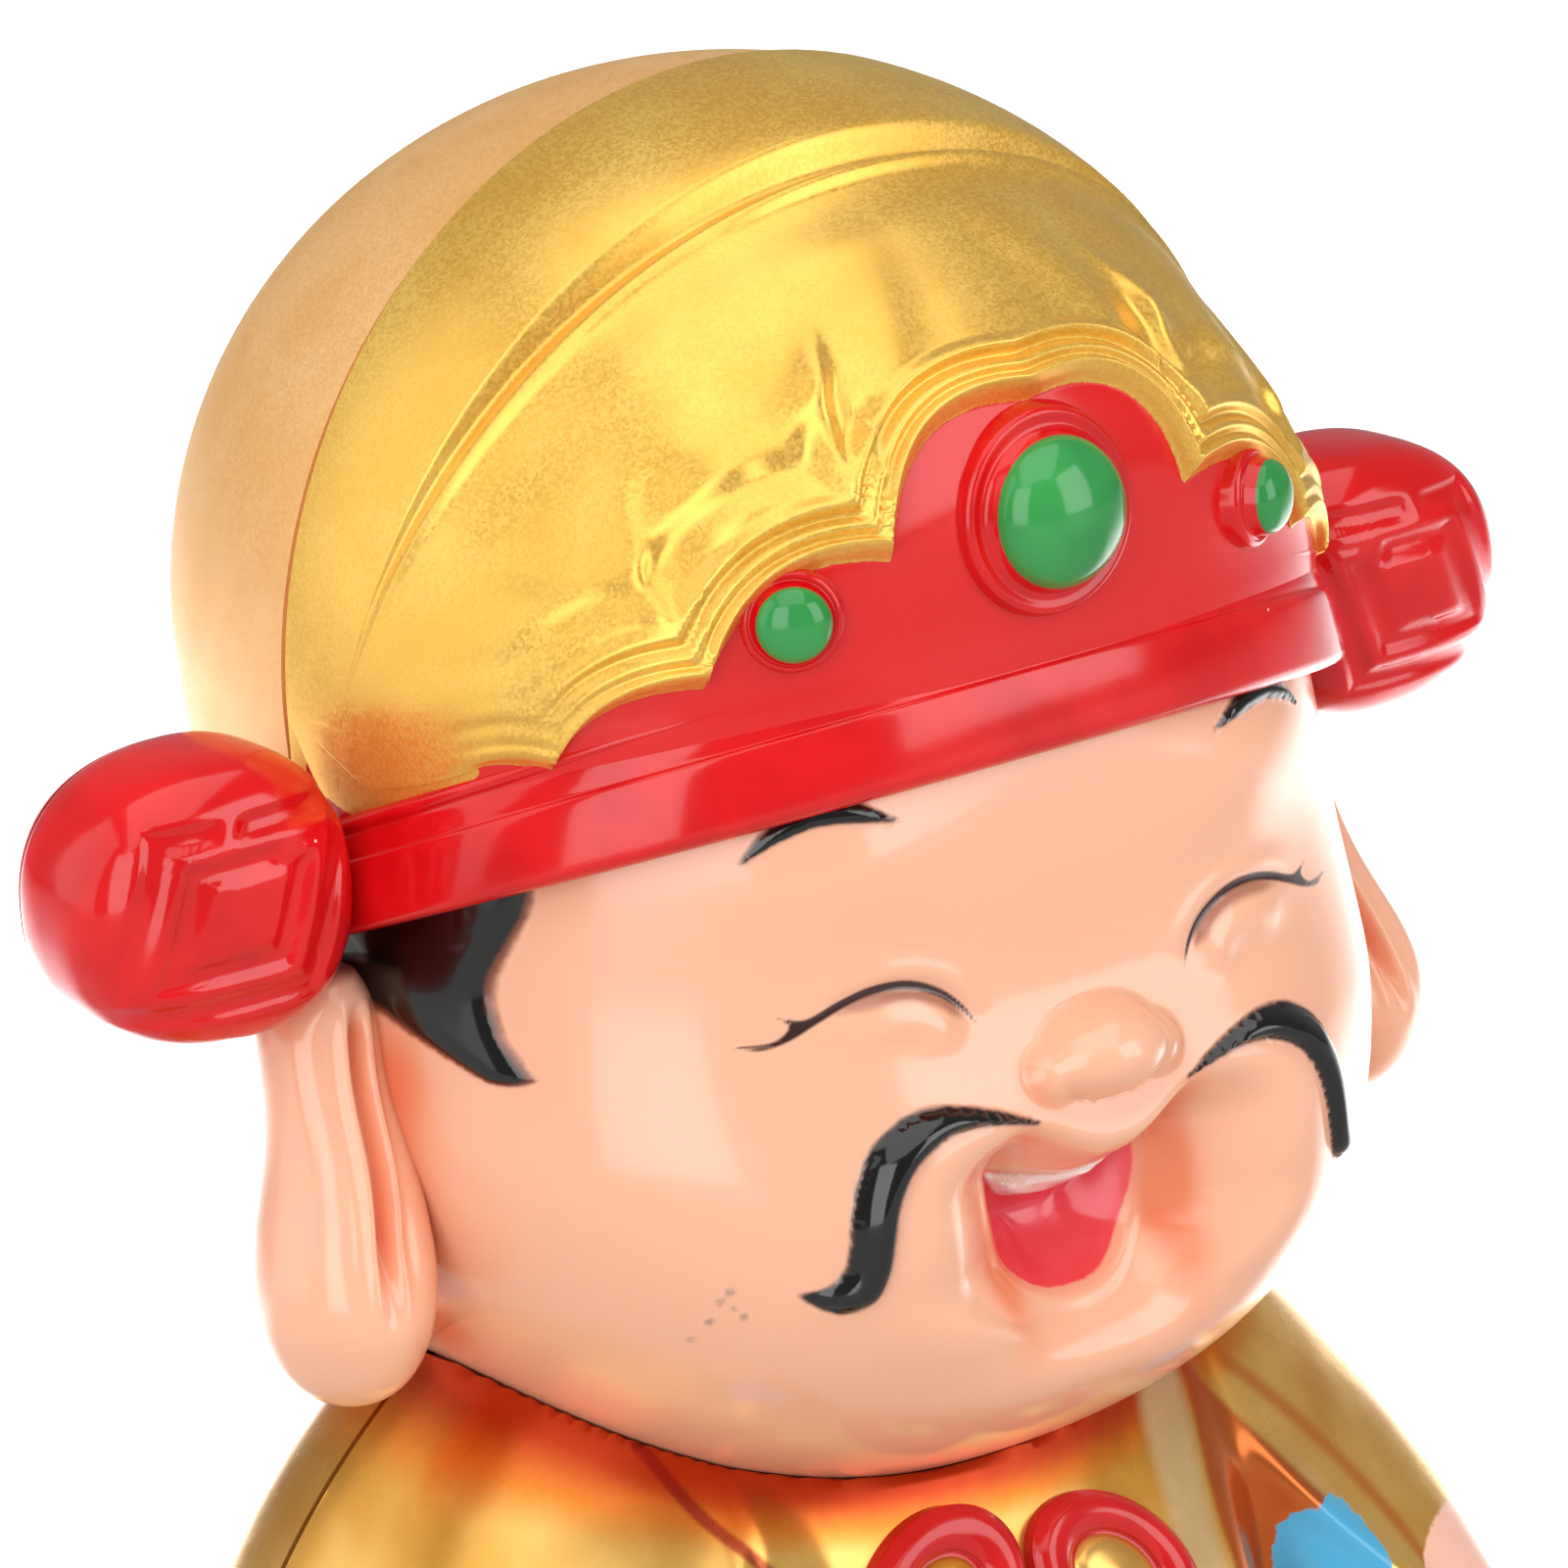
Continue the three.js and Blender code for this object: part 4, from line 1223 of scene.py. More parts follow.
@dataclass(frozen=True)
class Cloth:
    """The hat's gold front: rim strip, channel, gathered cloth, scalloped hem and red field."""

    shape: HatShape = HatShape()
    cusps: tuple[Pair, ...] = ((0, 21.8), (7.6, 16.5), (15.4, 12.2), (20.2, 8.8))
    lobe_rises: tuple[float, ...] = (2.3, 2.0, 1.2)
    spacing: float = 0.215
    hem_ends: float = 22.5  # where the hem has come down to the band
    channel: tuple[Pair, ...] = ((0, 0.3), (0.5, -0.95), (1, 0.18))
    # a slope up from the field, a bead, a groove, a soft roll, a valley and a ridge
    rim: tuple[Pair, ...] = (
        (0, -0.3), (0.45, -0.05), (0.74, 0.22), (1.02, -0.2), (1.38, 0.12), (1.9, -0.3),
        (2.32, 0.34), (3.0, 0.0), (4.3, -0.22), (5.4, 0.24), (7.2, 0))
    # the crest over each cusp, the hollows beside it and the swell outside them
    gathers: tuple[Gather, ...] = (
        Gather(0.55, 0, 0.48, (2.4, 3.6), (7.5, 12)), Gather(-0.75, 2.0, 1.7, (2.8, 5.8), (6, 11)),
        Gather(-0.55, -1.3, 0.95, (3, 4.6), (6.5, 11)), Gather(0.15, 6.0, 3.0, (3, 6), (9, 15)))
    # the long soft waves from the cusps up and inward
    sweeps: tuple[Gather, ...] = (
        Gather(0.4, 0.6, 2.0, (5.5, 8.5), (11, 17)), Gather(-0.2, -2.8, 1.9, (5.5, 8.5), (11, 17)))
    round_mm: float = 24.5  # millimetres of cloth for each radian
    field_gap: float = 0.4  # least drop from the cloth to the field
    rounds: int = 32  # how often the gap round a line of the cloth is halved
    strip_rows: int = 9
    channel_rows: int = 24
    far_rows: int = 18
    near_rows: int = 44
    hem_rows: int = 42
    near_mm: float = 3.4  # the cloth beside the hem that has the densest rows
    far_mm: float = 10

    def hem(self) -> Array:
        """Draws the scalloped hem from the middle outward.

        Returns:
            Dense stations, as an array (station, 2) of x and level.
        """
        parts = []
        for (x0, z0), (x1, z1), lift in zip(self.cusps, self.cusps[1:], self.lobe_rises):
            length = math.hypot(x1 - x0, z1 - z0)
            t = np.linspace(0, 1, 60, endpoint=False)
            swell = lift * (1 - (2 * t - 1) ** 2)
            parts.append(np.stack([mix(x0, x1, t) + swell * (z0 - z1) / length,
                                   mix(z0, z1, t) + swell * (x1 - x0) / length], -1))
        return np.vstack(parts + [np.array([self.cusps[-1]], float)])

    def fold(self, x: Array, level: Array) -> Array:
        """Relief of the gathers above the cusps.

        Args:
            x: sideways places.
            level: their levels.
        Returns:
            How far the cloth stands out.
        """
        out = np.zeros(x.shape)
        side = np.abs(x)
        for place, foot in self.cusps[1:3]:
            up = (level - foot) / 0.82
            # each crest leans outward at its foot and curves back in as it climbs
            beside = side - (place + 1.5 - 0.053 * (up - 5) ** 2)
            out += sum(gather.at(beside, up) for gather in self.gathers)
            beside = side - place + 0.8 * (up - 6)
            out += sum(sweep.at(beside, up) for sweep in self.sweeps) * rise(side, 1.5, 6)
        return out

    def columns(self) -> Array:
        """Lays out the columns, crowded at the cusps and the seam.

        Returns:
            Their sideways places.
        """
        half = self.shape.half_width
        inner = even_stations(0, half * 0.9955, lambda v: self.spacing - 0.085 * sum(
            bell(v - place + 0.35, 0.9) for place, _ in self.cusps[1:]) - 0.1 * rise(v, 22.3, 23.2))
        at_seam = half * (1 - np.array([2e-3, 6e-4, 1.5e-4, 2e-5, 1e-6]))
        outward = np.concatenate([inner[1:], at_seam])
        return np.concatenate([-outward[::-1], outward])

    def lines(self, x: Array) -> tuple[Array, Array, Array]:
        """Finds the lines that part the rows in each column.

        Args:
            x: the columns.
        Returns:
            Angles of the rim strip's edge, of the crease behind the cloth, and of the hem.
        """
        s = self.shape
        hem = self.hem()
        band_top = s.band_floor(s.place(x, np.zeros_like(x), s.field_depth)[:, 1]) + s.band_height
        level = np.interp(np.abs(x), hem[:, 0], hem[:, 1])
        level = mix(level, band_top, rise(np.abs(x), self.cusps[-1][0], self.hem_ends))

        def first(test: Callable[[Array], Array], low: float, high: Array) -> Array:
            """Angle between low and high at which a test of the cloth's points first holds."""
            return bracket(lambda a: test(s.place(x, a, s.cloth(a, x))),
                           np.full_like(x, low), high, self.rounds)[1]

        edge, crease = (
            first(lambda p: p[:, 1] > s.root_y - slope * (p[:, 2] - s.root_level), 0,
                  np.full_like(x, QUARTER)) for slope in (s.edge_slope, s.crease_slope))
        return edge, crease, first(lambda p: p[:, 2] > level, -0.6, crease - 0.01)

    def gold_rows(self, x: Array, edge: Array, crease: Array, hem: Array) -> list[Array]:
        """Rows of the gold part from the seam down to the hem.

        Args:
            x: the columns.
            edge: angle of the rim strip's edge in each column.
            crease: angle of the crease.
            hem: angle of the hem.
        Returns:
            The rows' angles, their reaches, and the share of the gathers that shows on each.
        """
        s = self.shape
        narrow = (edge - crease) * np.sqrt(1 - (x / s.half_width) ** 2)
        width = np.clip(narrow * 24, 0, 1)
        plain, rows = np.zeros_like(x), []
        for share in np.linspace(0, 1, self.strip_rows):
            angle = mix(QUARTER, edge, share)
            rows.append((angle, s.cloth(angle, x) + self.channel[0][1], plain))
        for share in np.linspace(0.02, 1, self.channel_rows):
            angle = mix(edge, crease, share)
            depth = waved(np.full_like(x, share), self.channel)
            rows.append((angle, s.cloth(angle, x) + depth * np.where(depth > 0, 1, width), plain))
        near_zone = np.minimum(self.near_mm / self.round_mm, (crease - hem) * 0.6)
        far_zone = np.minimum(self.far_mm / self.round_mm, (crease - hem) * 0.8)
        steps = [mix(crease - hem, far_zone, k / self.far_rows) for k in range(1, self.far_rows)]
        steps += [mix(far_zone, near_zone, k / self.near_rows) for k in range(self.near_rows)]
        steps += [near_zone * (1 - k / self.hem_rows) for k in range(self.hem_rows + 1)]
        for step in steps:
            angle = hem + step
            past = (crease - angle) * self.round_mm
            drop = 0.18 * (1 - rise(past, 0, 0.5)) - 0.3 * span(past, (0, 0.8), (1.2, 4.5))
            folded = rise(1 - np.clip(step / np.maximum(crease - hem, 1e-3), 0, 1), 0, 0.3)
            rows.append((angle, s.cloth(angle, x) + drop, folded))
        return [np.array(part) for part in zip(*rows)]

    def red_rows(self, x: Array, hem: Array) -> tuple[Array, Array]:
        """Rows of the field from the hem down behind the band.

        Args:
            x: the columns.
            hem: angle of the hem in each.
        Returns:
            The rows' angles and reaches.
        """
        s = self.shape
        floor = s.band_floor(s.place(x, hem, s.field(hem))[:, 1]) + s.band_height * 0.6
        low = bracket(lambda a: s.place(x, a, s.field(a))[:, 2] > floor,
                      np.full_like(x, -1.2), hem - 0.03, self.rounds)[1]
        share = np.linspace(0, 1, self.hem_rows)[1:, None] ** 1.4
        angles = mix(hem, np.minimum(low, hem - 0.03), share)
        return angles, np.minimum(s.field(angles), s.cloth(angles, x) - self.field_gap)

    @staticmethod
    def gap_to(line: Array, points: Array) -> Array:
        """Measures from the hem, sought among the columns near a point's own.

        Args:
            line: points of the hem, one for each column.
            points: points, as (row, column, 3).
        Returns:
            The distance of each point.
        """
        gaps = np.full(points.shape[:2], 1e9)
        for start in range(0, len(line), 31):
            chunk, held = points[:, start:start + 31], gaps[:, start:start + 31]
            for k in range(max(0, start - 50), min(len(line) - 1, start + 80)):
                step = line[k + 1] - line[k]
                t = np.clip((chunk - line[k]) @ step / (step @ step), 0, 1)
                gap = np.linalg.norm(chunk - line[k] - t[..., None] * step, axis=-1)
                np.minimum(held, gap, out=held)
        return gaps

    def hemmed(self, x: Array, angles: Array, reach: Array, away: Array) -> Array:
        """Adds the moulded hem along the cloth's edge.

        Args:
            x: sideways places.
            angles: angles up from straight ahead.
            reach: the cloth's reach.
            away: distance of each place from the hem.
        Returns:
            The new reach.
        """
        field = np.minimum(self.shape.field(angles), reach - self.field_gap)
        slope = rise(away, -0.05, 0.62) ** 0.8
        # the middle lobe's hem has no second ridge
        outer = waved(np.maximum(away, 0), self.rim)
        middle = waved(np.maximum(away, 0), self.rim[:8] + ((4.2, 0),))
        profile = mix(middle, outer, rise(np.abs(x), 6.6, 9.4))
        shaped = mix(field, reach, slope) + profile * slope
        return mix(shaped, reach, rise(np.abs(x), 21.5, 22.9))

    def skin(self, moulding: Moulding) -> None:
        """Adds the whole gold and red front.

        Args:
            moulding: the moulding that takes it.
        """
        s = self.shape
        x = self.columns()
        edge, crease, hem = self.lines(x)
        angles, reach, folded = self.gold_rows(x, edge, crease, hem)
        gold_rows = len(angles)
        angles, reach = (np.vstack(pair) for pair in zip((angles, reach), self.red_rows(x, hem)))
        folded = np.vstack([folded, np.zeros((len(angles) - gold_rows, len(x)))])
        wide = np.broadcast_to(x, angles.shape)
        points = s.place(wide, angles, reach)
        away = self.gap_to(s.place(x, hem, s.cloth(hem, x)), points)
        away[gold_rows:] *= -1
        reach = reach + self.fold(wide, points[..., 2]) * folded * rise(away, 2.1, 3.2)
        reach = np.where(away < 0, reach, self.hemmed(wide, angles, reach, away))
        points = s.place(wide, angles, reach)
        # the hidden inside turns in under the band and back to the seam
        inner = points[-1].copy()
        inner[:, 1] = mix(SEAM_Y, inner[:, 1], 0.86)
        last = inner.copy()
        last[:, 1:] = SEAM_Y - SEAM_GAP / 2, s.band_floor(SEAM_Y) + 2
        points = np.concatenate([points, inner[None], last[None]])
        points[..., 1] = beside_seam(points[..., 1], True)
        gold = np.concatenate([away, np.full((2, len(x)), -3.0)])
        side = np.abs(x)
        # towards the knots the gold closes over the field
        red = np.where(side > 23.6, -FAR, -gold - 1.3 * np.maximum(side - 21.6, 0))
        moulding.skin(points.transpose(1, 0, 2), 0, {"red": red.T})


@dataclass(frozen=True)
class Knot:
    """A pillow-shaped red knot at the hat's side, with a low square fret on its front."""

    x: float = 30.2
    level: float = 3.8
    forward: float = 2.2
    half: tuple[float, float, float] = (7.5, 5.4, 6.2)
    inner_share: float = 0.76  # it is narrower towards the hat

    def skin(self, side: float, front: bool) -> Array:
        """Half of one knot, as an open patch.

        Args:
            side: -1 or 1.
            front: whether it is the front half.
        Returns:
            Its points.
        """
        a, c, h = self.half
        sign = 1 if front else -1
        to_seam = math.asin(((self.forward - sign * SEAM_GAP / 2) / c) ** (1 / 0.85)) / QUARTER
        stations = np.linspace(-1, 1, 101 if front else 49) * (1 + sign * to_seam)
        u, v = np.meshgrid(stations, stations)
        m = np.maximum(np.maximum(np.abs(u), np.abs(v)), 1e-6)
        turn, lean = np.arctan2(v, u), QUARTER * (1 - m)
        ring = np.maximum(np.cos(lean), 0) ** 0.75
        x = a * np.sign(np.cos(turn)) * np.abs(np.cos(turn)) ** 0.86 * ring
        x = np.where(x < 0, self.inner_share, 1.0) * x
        z = h * np.sign(np.sin(turn)) * np.abs(np.sin(turn)) ** 0.86 * ring
        out = c * np.sign(np.sin(lean)) * np.abs(np.sin(lean)) ** 0.85
        if front:
            flat = c * np.maximum(1 - m**3.4, 0) ** 0.62
            out = np.where(m < 1, mix(out, flat, 0.55), out)
            out = out + self.fret(x / a, z / h) * rise(1.0 - m, 0.02, 0.16)
        y = beside_seam(SEAM_Y - self.forward - sign * out, front)
        return np.stack([side * (self.x + x), y, self.level + z], -1)

    @staticmethod
    def fret(u: Array, v: Array) -> Array:
        """Relief of the square spiral on a knot's face.

        Args:
            u: sideways places, from -1 to 1 across it.
            v: upright places, the same.
        Returns:
            How far it stands out.
        """
        u = u - 0.16 + 0.3 * v
        m = np.maximum(np.abs(u), np.abs(v) * 1.02)
        ditch = 0.3 * span(m, (0.5, 0.57), (0.63, 0.72))
        inner = 0.28 * span(m, (0.24, 0.31), (0.38, 0.45))
        bridge = 1 - bell(v - 0.36, 0.08) * rise(-u, 0.1, 0.2)
        gate = 1 - bell(u - 0.2, 0.09) * rise(v, 0.3, 0.4)
        return 0.12 - ditch * gate - inner * bridge


@dataclass(frozen=True)
class Gem:
    """A round green gem on the hat's field, in a raised red seat."""

    x: float
    degrees: float  # up from straight ahead
    radius: float

    def place(self, s: HatShape) -> tuple[Array, Array]:
        """Sets the gem on the field.

        Args:
            s: the hat's form.
        Returns:
            The middle of its foot, and its axis.
        """
        angle = np.array(math.radians(self.degrees))
        reach = s.field(angle)
        middle = s.place(np.array(self.x), angle, reach)
        return middle, np.array([self.x / s.half_width**2, (middle[1] - SEAM_Y) / reach**2,
                                 0.25 * (middle[2] - s.level) / reach**2])

    def skin(self, moulding: Moulding, shape: HatShape) -> None:
        """Adds the seat and the gem.

        Args:
            moulding: the moulding that takes it.
            shape: the hat's form.
        """
        r, place = self.radius, self.place(shape)
        edge = 1.36 * r
        seat = rounded_profile([
            (0.2 * r, -1.6), (edge, -1.5), (edge, 0.0), (edge - 0.1, 0.32), (edge - 0.3, 0.42),
            (1.16 * r, 0.36), (1.08 * r, 0.42), (1.02 * r, 0.75), (0.985 * r, 1.0), (0.9 * r, 1.05),
            (0.3 * r, 1.05)], 3)
        moulding.skin(lathe(seat, *place, 72), 1)
        dome = [(0.1 * r, 0), (0.98 * r, 0.1)]
        dome += [(r * math.cos(t), 0.85 + 0.62 * r * math.sin(t))
                 for t in np.linspace(0, QUARTER, 22)[:-1]]
        moulding.skin(lathe(dome, *place, 72), 2)


@dataclass(frozen=True)
class Hat:
    """Both hat mouldings: gold cloth over a red field, red band, gems and side knots."""

    shape: HatShape = HatShape()
    cloth: Cloth = Cloth()
    knot: Knot = Knot()
    gems: tuple[Gem, ...] = (Gem(-12.0, 15.6, 1.6), Gem(12.0, 15.6, 1.6), Gem(0.0, 19.2, 3.2))

    def back_dome(self, moulding: Moulding) -> None:
        """Adds the plain back of the hat, down to the band.

        Args:
            moulding: the moulding that takes it.
        """
        s = self.shape
        lift, b = np.meshgrid(np.linspace(QUARTER, 0, 72)[1:], half_turn(False, 130), indexing="ij")
        upper = np.stack([s.half_width * np.cos(lift) * np.sin(b),
                          SEAM_Y - s.back_depth * np.cos(lift) * np.cos(b),
                          s.level + s.height * np.sin(lift)], -1)
        share, b = np.meshgrid(np.linspace(0, 1, 30)[1:], half_turn(False, 130), indexing="ij")
        across, ahead = plan_oval(b, s.half_width - 0.3 * share, s.field_depth,
                                  mix(s.back_depth, s.band_back - 1, share))
        lower = np.stack([across, SEAM_Y - ahead,
                          mix(s.level, s.band_floor(SEAM_Y - ahead) + 1, share)], -1)
        rings = np.concatenate([upper, lower])
        rings[..., 1] = beside_seam(rings[..., 1], False)
        moulding.skin(rings)

    def band(self, moulding: Moulding, front: bool) -> None:
        """Adds one half of the red brow band, with the bead along its top.

        Args:
            moulding: the moulding that takes it.
            front: whether it is the front half.
        """
        s = self.shape
        outer = rounded_profile([
            (-0.9, -0.05), (-0.35, 0.0), (-0.02, 0.28), (-0.02, 0.75), (-0.2, 2.1), (-0.42, 3.3),
            (-0.56, 3.62), (-0.72, 3.7), (-0.8, 4.1), (-1.0, 4.8), (-1.12, 5.05), (-1.0, 5.2),
            (-0.93, 5.45), (-1.08, 5.75), (-1.4, 5.95), (-1.9, 6.0)], 3)
        out, height = np.array([(-2.5, 0.1)] + outer + [(-2.5, 5.95)]).T
        b = half_turn(front, 220 if front else 110)[:, None]
        across, ahead = plan_oval(b, s.band_half + out, s.band_front + out, s.band_back + out)
        level = s.band_floor(SEAM_Y - ahead) + height * mix(1, 0.84, rise(-np.cos(b), -1, 0))
        moulding.skin(np.stack([across, beside_seam(SEAM_Y - ahead, front), level], -1), 1)

    def lip(self, moulding: Moulding) -> None:
        """Adds the hidden tongue that closes the slot between the halves.

        Args:
            moulding: the moulding that takes it.
        """
        s = self.shape
        turn = np.linspace(-0.3, math.pi + 0.3, 80)[:, None]
        scale, behind = np.array([(0.984, 0.3), (0.984, -0.75), (0.93, -0.75), (0.93, 0.3)]).T
        x, z = s.half_width * np.cos(turn) * scale, s.level + s.height * np.sin(turn) * scale
        moulding.skin(np.stack(np.broadcast_arrays(x, SEAM_Y + behind, z), -1))

    def build(self) -> list[bpy.types.Object]:
        """Makes both hat mouldings.

        Returns:
            The front one and the back one.
        """
        red = GlossEnamel("red_enamel", "E3141B", "D00B14").make()
        green = GlossEnamel("green_enamel", "3A9E4E", "2B8A41", "BFE3C4").make()
        gold = GoldLacquer("flake_gold_lacquer", "F9CF66", "ECB74C", Gloss(0.34, 0.62), 0.4).make(
            Paint("red", "E01A1E", 0.05, wobble=0.13, metallic=0.0, roughness=0.14))
        plain = GoldLacquer("back_gold_lacquer", "FACA8C", "F0B56A", Gloss(0.42, 0.3), 0.25).make()
        front, back = Moulding("hat_front_moulding"), Moulding("hat_back_moulding")
        self.cloth.skin(front)
        self.back_dome(back)
        for half in (front, back):
            self.band(half, half is front)
            for side in SIDES:
                half.skin(self.knot.skin(side, half is front), 1, looped=False)
        for gem in self.gems:
            gem.skin(front, self.shape)
        self.lip(back)
        return [front.make([gold, red, green], "hat_front", "hat_gold", 80),
                back.make([plain, red], "hat_back", "hat_back_gold")]


# The body


@dataclass(frozen=True)
class Patch:
    """Round painted patch of the robe's front."""

    mark: str
    x: float
    level: float
    radius: float
    across: float  # its squeeze sideways: below 1 it is wider than its radius
    upright: float

    def depth(self, x: Array, level: Array) -> Array:
        """Distance inside its edge, negative outside."""
        sideways, upward = (x - self.x) * self.across, (level - self.level) * self.upright
        return self.radius - np.hypot(sideways, upward)


@dataclass(frozen=True)
class Ornament:
    """One round lobe of the chest ornament: a red rim round a gold dome."""

    side: float
    drop: float  # how much lower than the middle of the ornament it is set
    radius: float = 4.1
    shift: float = -1.2
    apart: float = 4.7
    level: float = -31.4
    lean: float = 0.33  # towards the other lobe

    def skin(self, moulding: Moulding, y: float) -> None:
        """Adds the rim and the dome.

        Args:
            moulding: the moulding that takes it.
            y: depth of the robe's skin there.
        """
        outward = np.array([self.side * 0.1, -1, 0.45])
        place = np.array([self.shift + self.side * self.apart, y, self.level - self.drop])
        r = self.radius
        rim = [(0.3, -2.8), (r, -2.8), (r, 0.5), (r - 0.15, 1.05), (r - 0.7, 1.42), (r - 1.4, 1.35),
               (r - 1.85, 1.05), (r - 2.0, 0.8), (0.3, 0.8)]
        dome = [(0.1, 0), (r - 2.0, 0.3), (r - 2.1, 0.8), (r - 2.7, 1.15), (0.2, 1.35)]
        for profile, around, finish in ((rim, 96, 1), (dome, 80, 0)):
            rings = lathe(rounded_profile(profile), place, outward, around)
            rings[..., 0] -= self.side * self.lean * (rings[..., 2] - place[2])
            moulding.skin(rings, finish)


@dataclass(frozen=True)
class Body:
    """Both body mouldings: the plated robe with its sleeves, collar and chest ornament."""

    half_width: float = 33.2
    shift: float = 0.4
    front_depth: float = 19.0
    back_depth: float = 15.5
    level: float = -45.0
    shoulder_rise: float = 30.4
    roundness: float = 1.8
    slant: float = 0.085
    ornament: tuple[Ornament, ...] = (Ornament(-1.0, 0.0), Ornament(1.0, 1.3))
    cup: float = 0.14  # clearance of the collar round the jaw
    painted_reflection_reach: float = 10.0
    head: HeadShape = HeadShape()
    patches: tuple[Patch, ...] = (
        Patch("cuff", 16.7, -36.2, 2.3, 0.95, 0.75), Patch("cuff", -17.5, -33.8, 2.3, 0.95, 0.75),
        Patch("hand", 24.3, -41.0, 3.9, 0.8, 0.85), Patch("hand", -25.0, -36.2, 3.9, 0.8, 0.85))
    lapel: Spline = Spline(((-15.6, -23.0), (-14.7, -25.4), (-13.8, -26.8), (-12.5, -28.4),
                            (-9.4, -33.0), (-8.0, -38.0)))
    # painted shade along a fold of the sleeve
    pleat: Spline = Spline(((14.6, -27.0), (16.9, -29.4), (19.4, -32.4), (21.2, -35.6),
                            (22.0, -39.0)))
    # painted shade in the sleeve's opening, a dark orange wedge
    wedge: Region = Region((
        ((11.9, -25.9), (13.7, -28.7), (16.1, -32.0), (17.6, -34.2), (18.4, -38.0)),
        ((18.4, -38.0), (10.4, -38.0)),
        ((10.4, -38.0), (10.3, -34.0), (10.3, -31.6), (10.8, -29.4), (11.4, -27.6), (11.9, -25.9)),
    ))
    # painted highlight along the chest's edge beside the sleeve
    panel: Region = Region((
        ((9.3, -25.6), (8.3, -27.1), (7.8, -29.4), (7.4, -33.0), (7.4, -38.0)),
        ((7.4, -38.0), (10.0, -38.0)),
        ((10.0, -38.0), (9.9, -34.0), (9.9, -31.6), (10.4, -29.4), (11.0, -27.6), (11.2, -26.0),
         (9.3, -25.6)),
    ))

    def relief(self, x: Array, level: Array) -> Array:
        """The robe's front: bulging sleeves, hollows beside the chest, and hands.

        Args:
            x: sideways places.
            level: their levels.
        Returns:
            How far it stands out.
        """
        side = np.abs(x)
        down = np.clip((-26 - level) / 26, 0, 1)
        deep = mix(0.4, 3, rise(-level, 28, 38))
        hollow = -deep * bell(side - mix(12.8, 15.5, down), mix(0.9, 3, down))
        rim = 1.1 * bell(side - mix(13.5, 21.5, rise(-level, 27, 40)), 1.3) * rise(-level, 26, 32)
        hand = 1.2 * bell(side - 25, 3.4) * bell(level + 43, 8)
        sleeve = 5.5 * bell(side - 24, 8) * rise(-level, 28, 42)
        chest = 0.8 * (1 - rise(side, 10, 12.5)) * rise(-level, 24, 34)
        return hollow + rim + hand + sleeve + chest

    def robe(self, bearing: Array, level: Array) -> Array:
        """The robe's skin.

        Args:
            bearing: angles from straight ahead.
            level: levels, before the shoulders' slant.
        Returns:
            The points.
        """
        part = np.clip((level - self.level) / self.shoulder_rise, 0, 1)
        width_left = (1 - part**self.roundness) ** (1 / self.roundness)
        sine, cosine = np.sin(bearing), np.cos(bearing)
        front = cosine > 0
        depth_left = np.sqrt(1 - part**2) ** np.where(front, 1.2, 1.0)
        x = self.half_width * width_left * np.sign(sine) * np.abs(sine) ** 0.9
        depth = np.where(front, self.front_depth, self.back_depth)
        plain = depth * depth_left * np.sign(cosine) * np.abs(cosine) ** 0.9
        relief = self.relief(x, level) * rise(cosine, 0.05, 0.4) * depth_left
        return np.stack([self.shift + x, SEAM_Y - plain - relief, level - self.slant * x], -1)

    def under_jaw(self, points: Array) -> None:
        """Lowers what would stand in the head to the hollow for the jaw.

        Args:
            points: the robe's points, which it changes.
        """
        inside = self.head.holds(*np.moveaxis(points, -1, 0), self.cup)
        x, y, z = points[inside].T
        floor = np.full(len(z), self.head.neck - self.cup)
        points[inside, 2] = bracket(lambda v: self.head.holds(x, y, v, self.cup), floor, z, 14)[0]

    def glow(self, points: Array) -> Array:
        """How close each place is to the jaw, for the flesh's orange reflection painted there.

        Args:
            points: the robe's points.
        Returns:
            The closeness, from 0 to 1.
        """
        steps = 32
        grown = self.cup + 0.15 + self.painted_reflection_reach * np.arange(steps) / steps
        return sum(self.head.holds(*np.moveaxis(points, -1, 0), grow) for grow in grown) / steps

    def half(self, moulding: Moulding, front: bool) -> None:
        """Adds one half of the robe.

        Args:
            moulding: the moulding that takes it.
            front: whether it is the front half.
        """
        top = self.level + self.shoulder_rise
        levels = even_stations(-HEAD_LEVEL - 3, top - 0.02, lambda v: np.where(v > -26, 0.24, 0.32))
        points = self.robe(*np.meshgrid(half_turn(front, 520 if front else 160), levels))
        self.under_jaw(points)
        points[..., 2] = np.maximum(points[..., 2], -HEAD_LEVEL)
        points[..., 1] = beside_seam(points[..., 1], front)
        # painted reflection of the flesh near the jaw
        marks = {"glow": self.glow(points)}
        if front:
            x, level = points[..., 0], points[..., 2]
            for patch in self.patches:
                depth = patch.depth(x, level)
                marks[patch.mark] = np.maximum(marks.get(patch.mark, depth), depth)
            marks["lapel"] = 0.42 - self.lapel.nearest(x, level)[0]
            marks["pleat"] = 0.35 - self.pleat.nearest(x, level)[0]
            marks["wedge"] = self.wedge.depth(x, level)
            marks["panel"] = self.panel.depth(x, level)
        moulding.skin(points, 0, marks)

